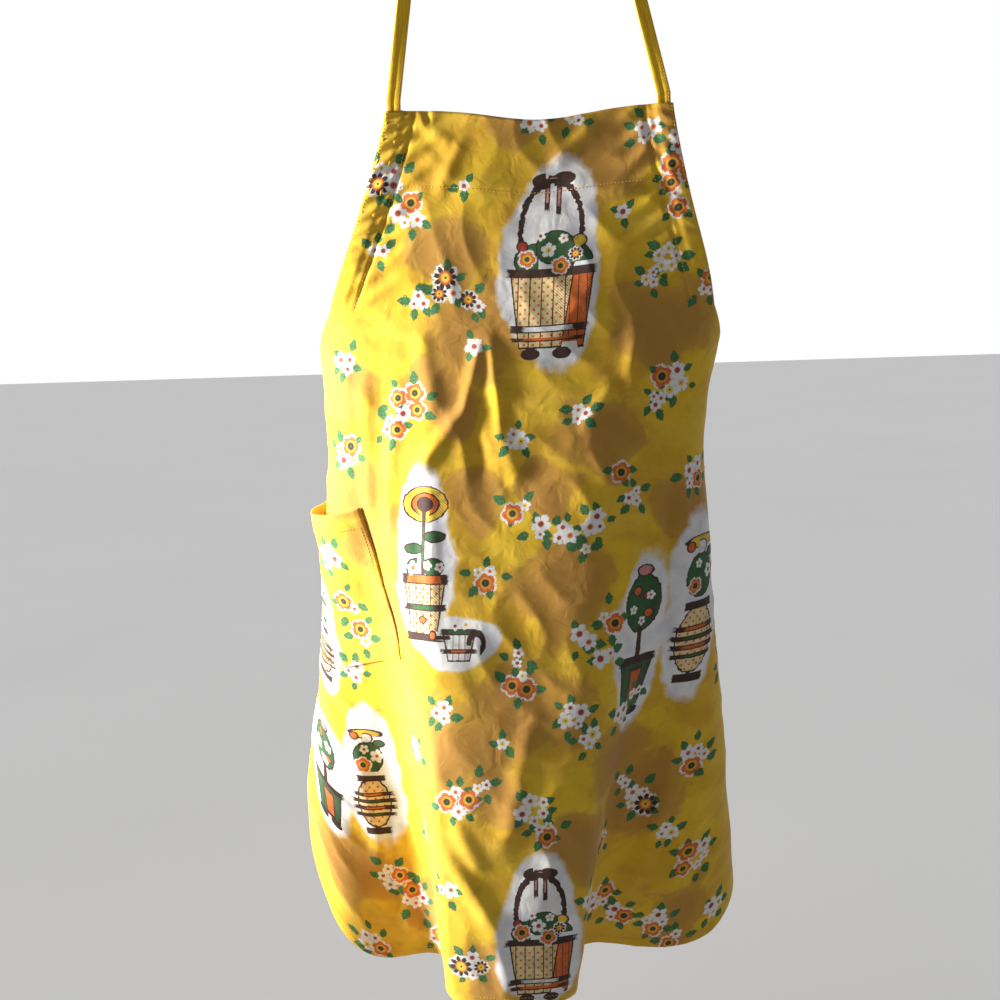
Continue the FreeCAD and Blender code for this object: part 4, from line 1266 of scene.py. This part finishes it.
# --- hook ---
METALS = {"hook_plate": brushed_metal(), "hook_knob": polished_knob()}
METALS["hook_arm"] = METALS["hook_plate"]
for node, metal in METALS.items():
    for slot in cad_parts[node].material_slots:
        slot.material = metal

# --- studio ---
FLOOR_HALF, FLOOR_BELOW = 12.0, 0.25
LAMP_AT, LAMP_AIM = (-1.80, -0.26, -0.80), (0.0, -0.1, -0.95)
LAMP_POWER, LAMP_SIZE, LAMP_COLOUR = 25.0, (0.22, 0.7), (1.0, 0.97, 0.90)
BEAM = 70.0                         # degrees
BRIGHT_SIDE = (-0.40, 0.78, 0.48)   # the surroundings are brightest in this direction
DIM = 0.055                         # and this bright on the other side


def add_floor():
    """Plain pale floor, below the apron."""
    shader = Shader("studio_floor", roughness=0.9)
    tone = shader.noise(shader.object_place(), 1.5, 2.0)
    shader.finish(shader.mix(tone, (0.86, 0.86, 0.86, 1), (0.90, 0.90, 0.90, 1)))
    half, level = FLOOR_HALF, cad_low.z - FLOOR_BELOW
    points = [(-half, -half, level), (half, -half, level), (half, half, level), (-half, half, level)]
    floor = add_mesh("studio_floor", points, [(0, 1, 2, 3)], [shader.material])
    return floor


def add_lamp(unlit):
    """Soft rectangular lamp, low at the left; it leaves `unlit` alone."""
    data = bpy.data.lights.new("window", "AREA")
    data.energy, data.color = LAMP_POWER, LAMP_COLOUR
    data.shape = "RECTANGLE"
    data.size, data.size_y = LAMP_SIZE
    data.spread = math.radians(BEAM)
    lamp = bpy.data.objects.new("window", data)
    lamp.location = LAMP_AT
    lamp.rotation_euler = (Vector(LAMP_AIM) - Vector(LAMP_AT)).to_track_quat("-Z", "Y").to_euler()
    bpy.context.collection.objects.link(lamp)
    spared = bpy.data.collections.new("window_spares")
    spared.objects.link(unlit)
    spared.collection_objects[0].light_linking.link_state = "EXCLUDE"
    lamp.light_linking.receiver_collection = spared


def add_world():
    """Light from behind and the left; the surroundings themselves look evenly near-white."""
    world = bpy.data.worlds.new("studio")
    world.use_nodes = True
    tree = world.node_tree
    background = tree.nodes["Background"]
    direction = tree.nodes.new("ShaderNodeTexCoord")
    facing = tree.nodes.new("ShaderNodeVectorMath")
    facing.operation = "DOT_PRODUCT"
    facing.inputs[1].default_value = BRIGHT_SIDE
    strength = tree.nodes.new("ShaderNodeMapRange")
    for socket, value in ((1, -0.08), (2, 0.60), (3, DIM), (4, 1.0)):
        strength.inputs[socket].default_value = value
    seen = tree.nodes.new("ShaderNodeLightPath")
    shown = tree.nodes.new("ShaderNodeMath")
    shown.operation = "MAXIMUM"
    for output, socket in ((direction.outputs["Generated"], facing.inputs[0]),
                           (facing.outputs["Value"], strength.inputs[0]),
                           (strength.outputs[0], shown.inputs[0]),
                           (seen.outputs["Is Camera Ray"], shown.inputs[1]),
                           (shown.outputs[0], background.inputs["Strength"])):
        tree.links.new(output, socket)
    background.inputs["Color"].default_value = (1.0, 1.0, 1.0, 1.0)
    bpy.context.scene.world = world


add_world()
add_lamp(unlit=add_floor())
bpy.context.scene.view_settings.view_transform = "Standard"
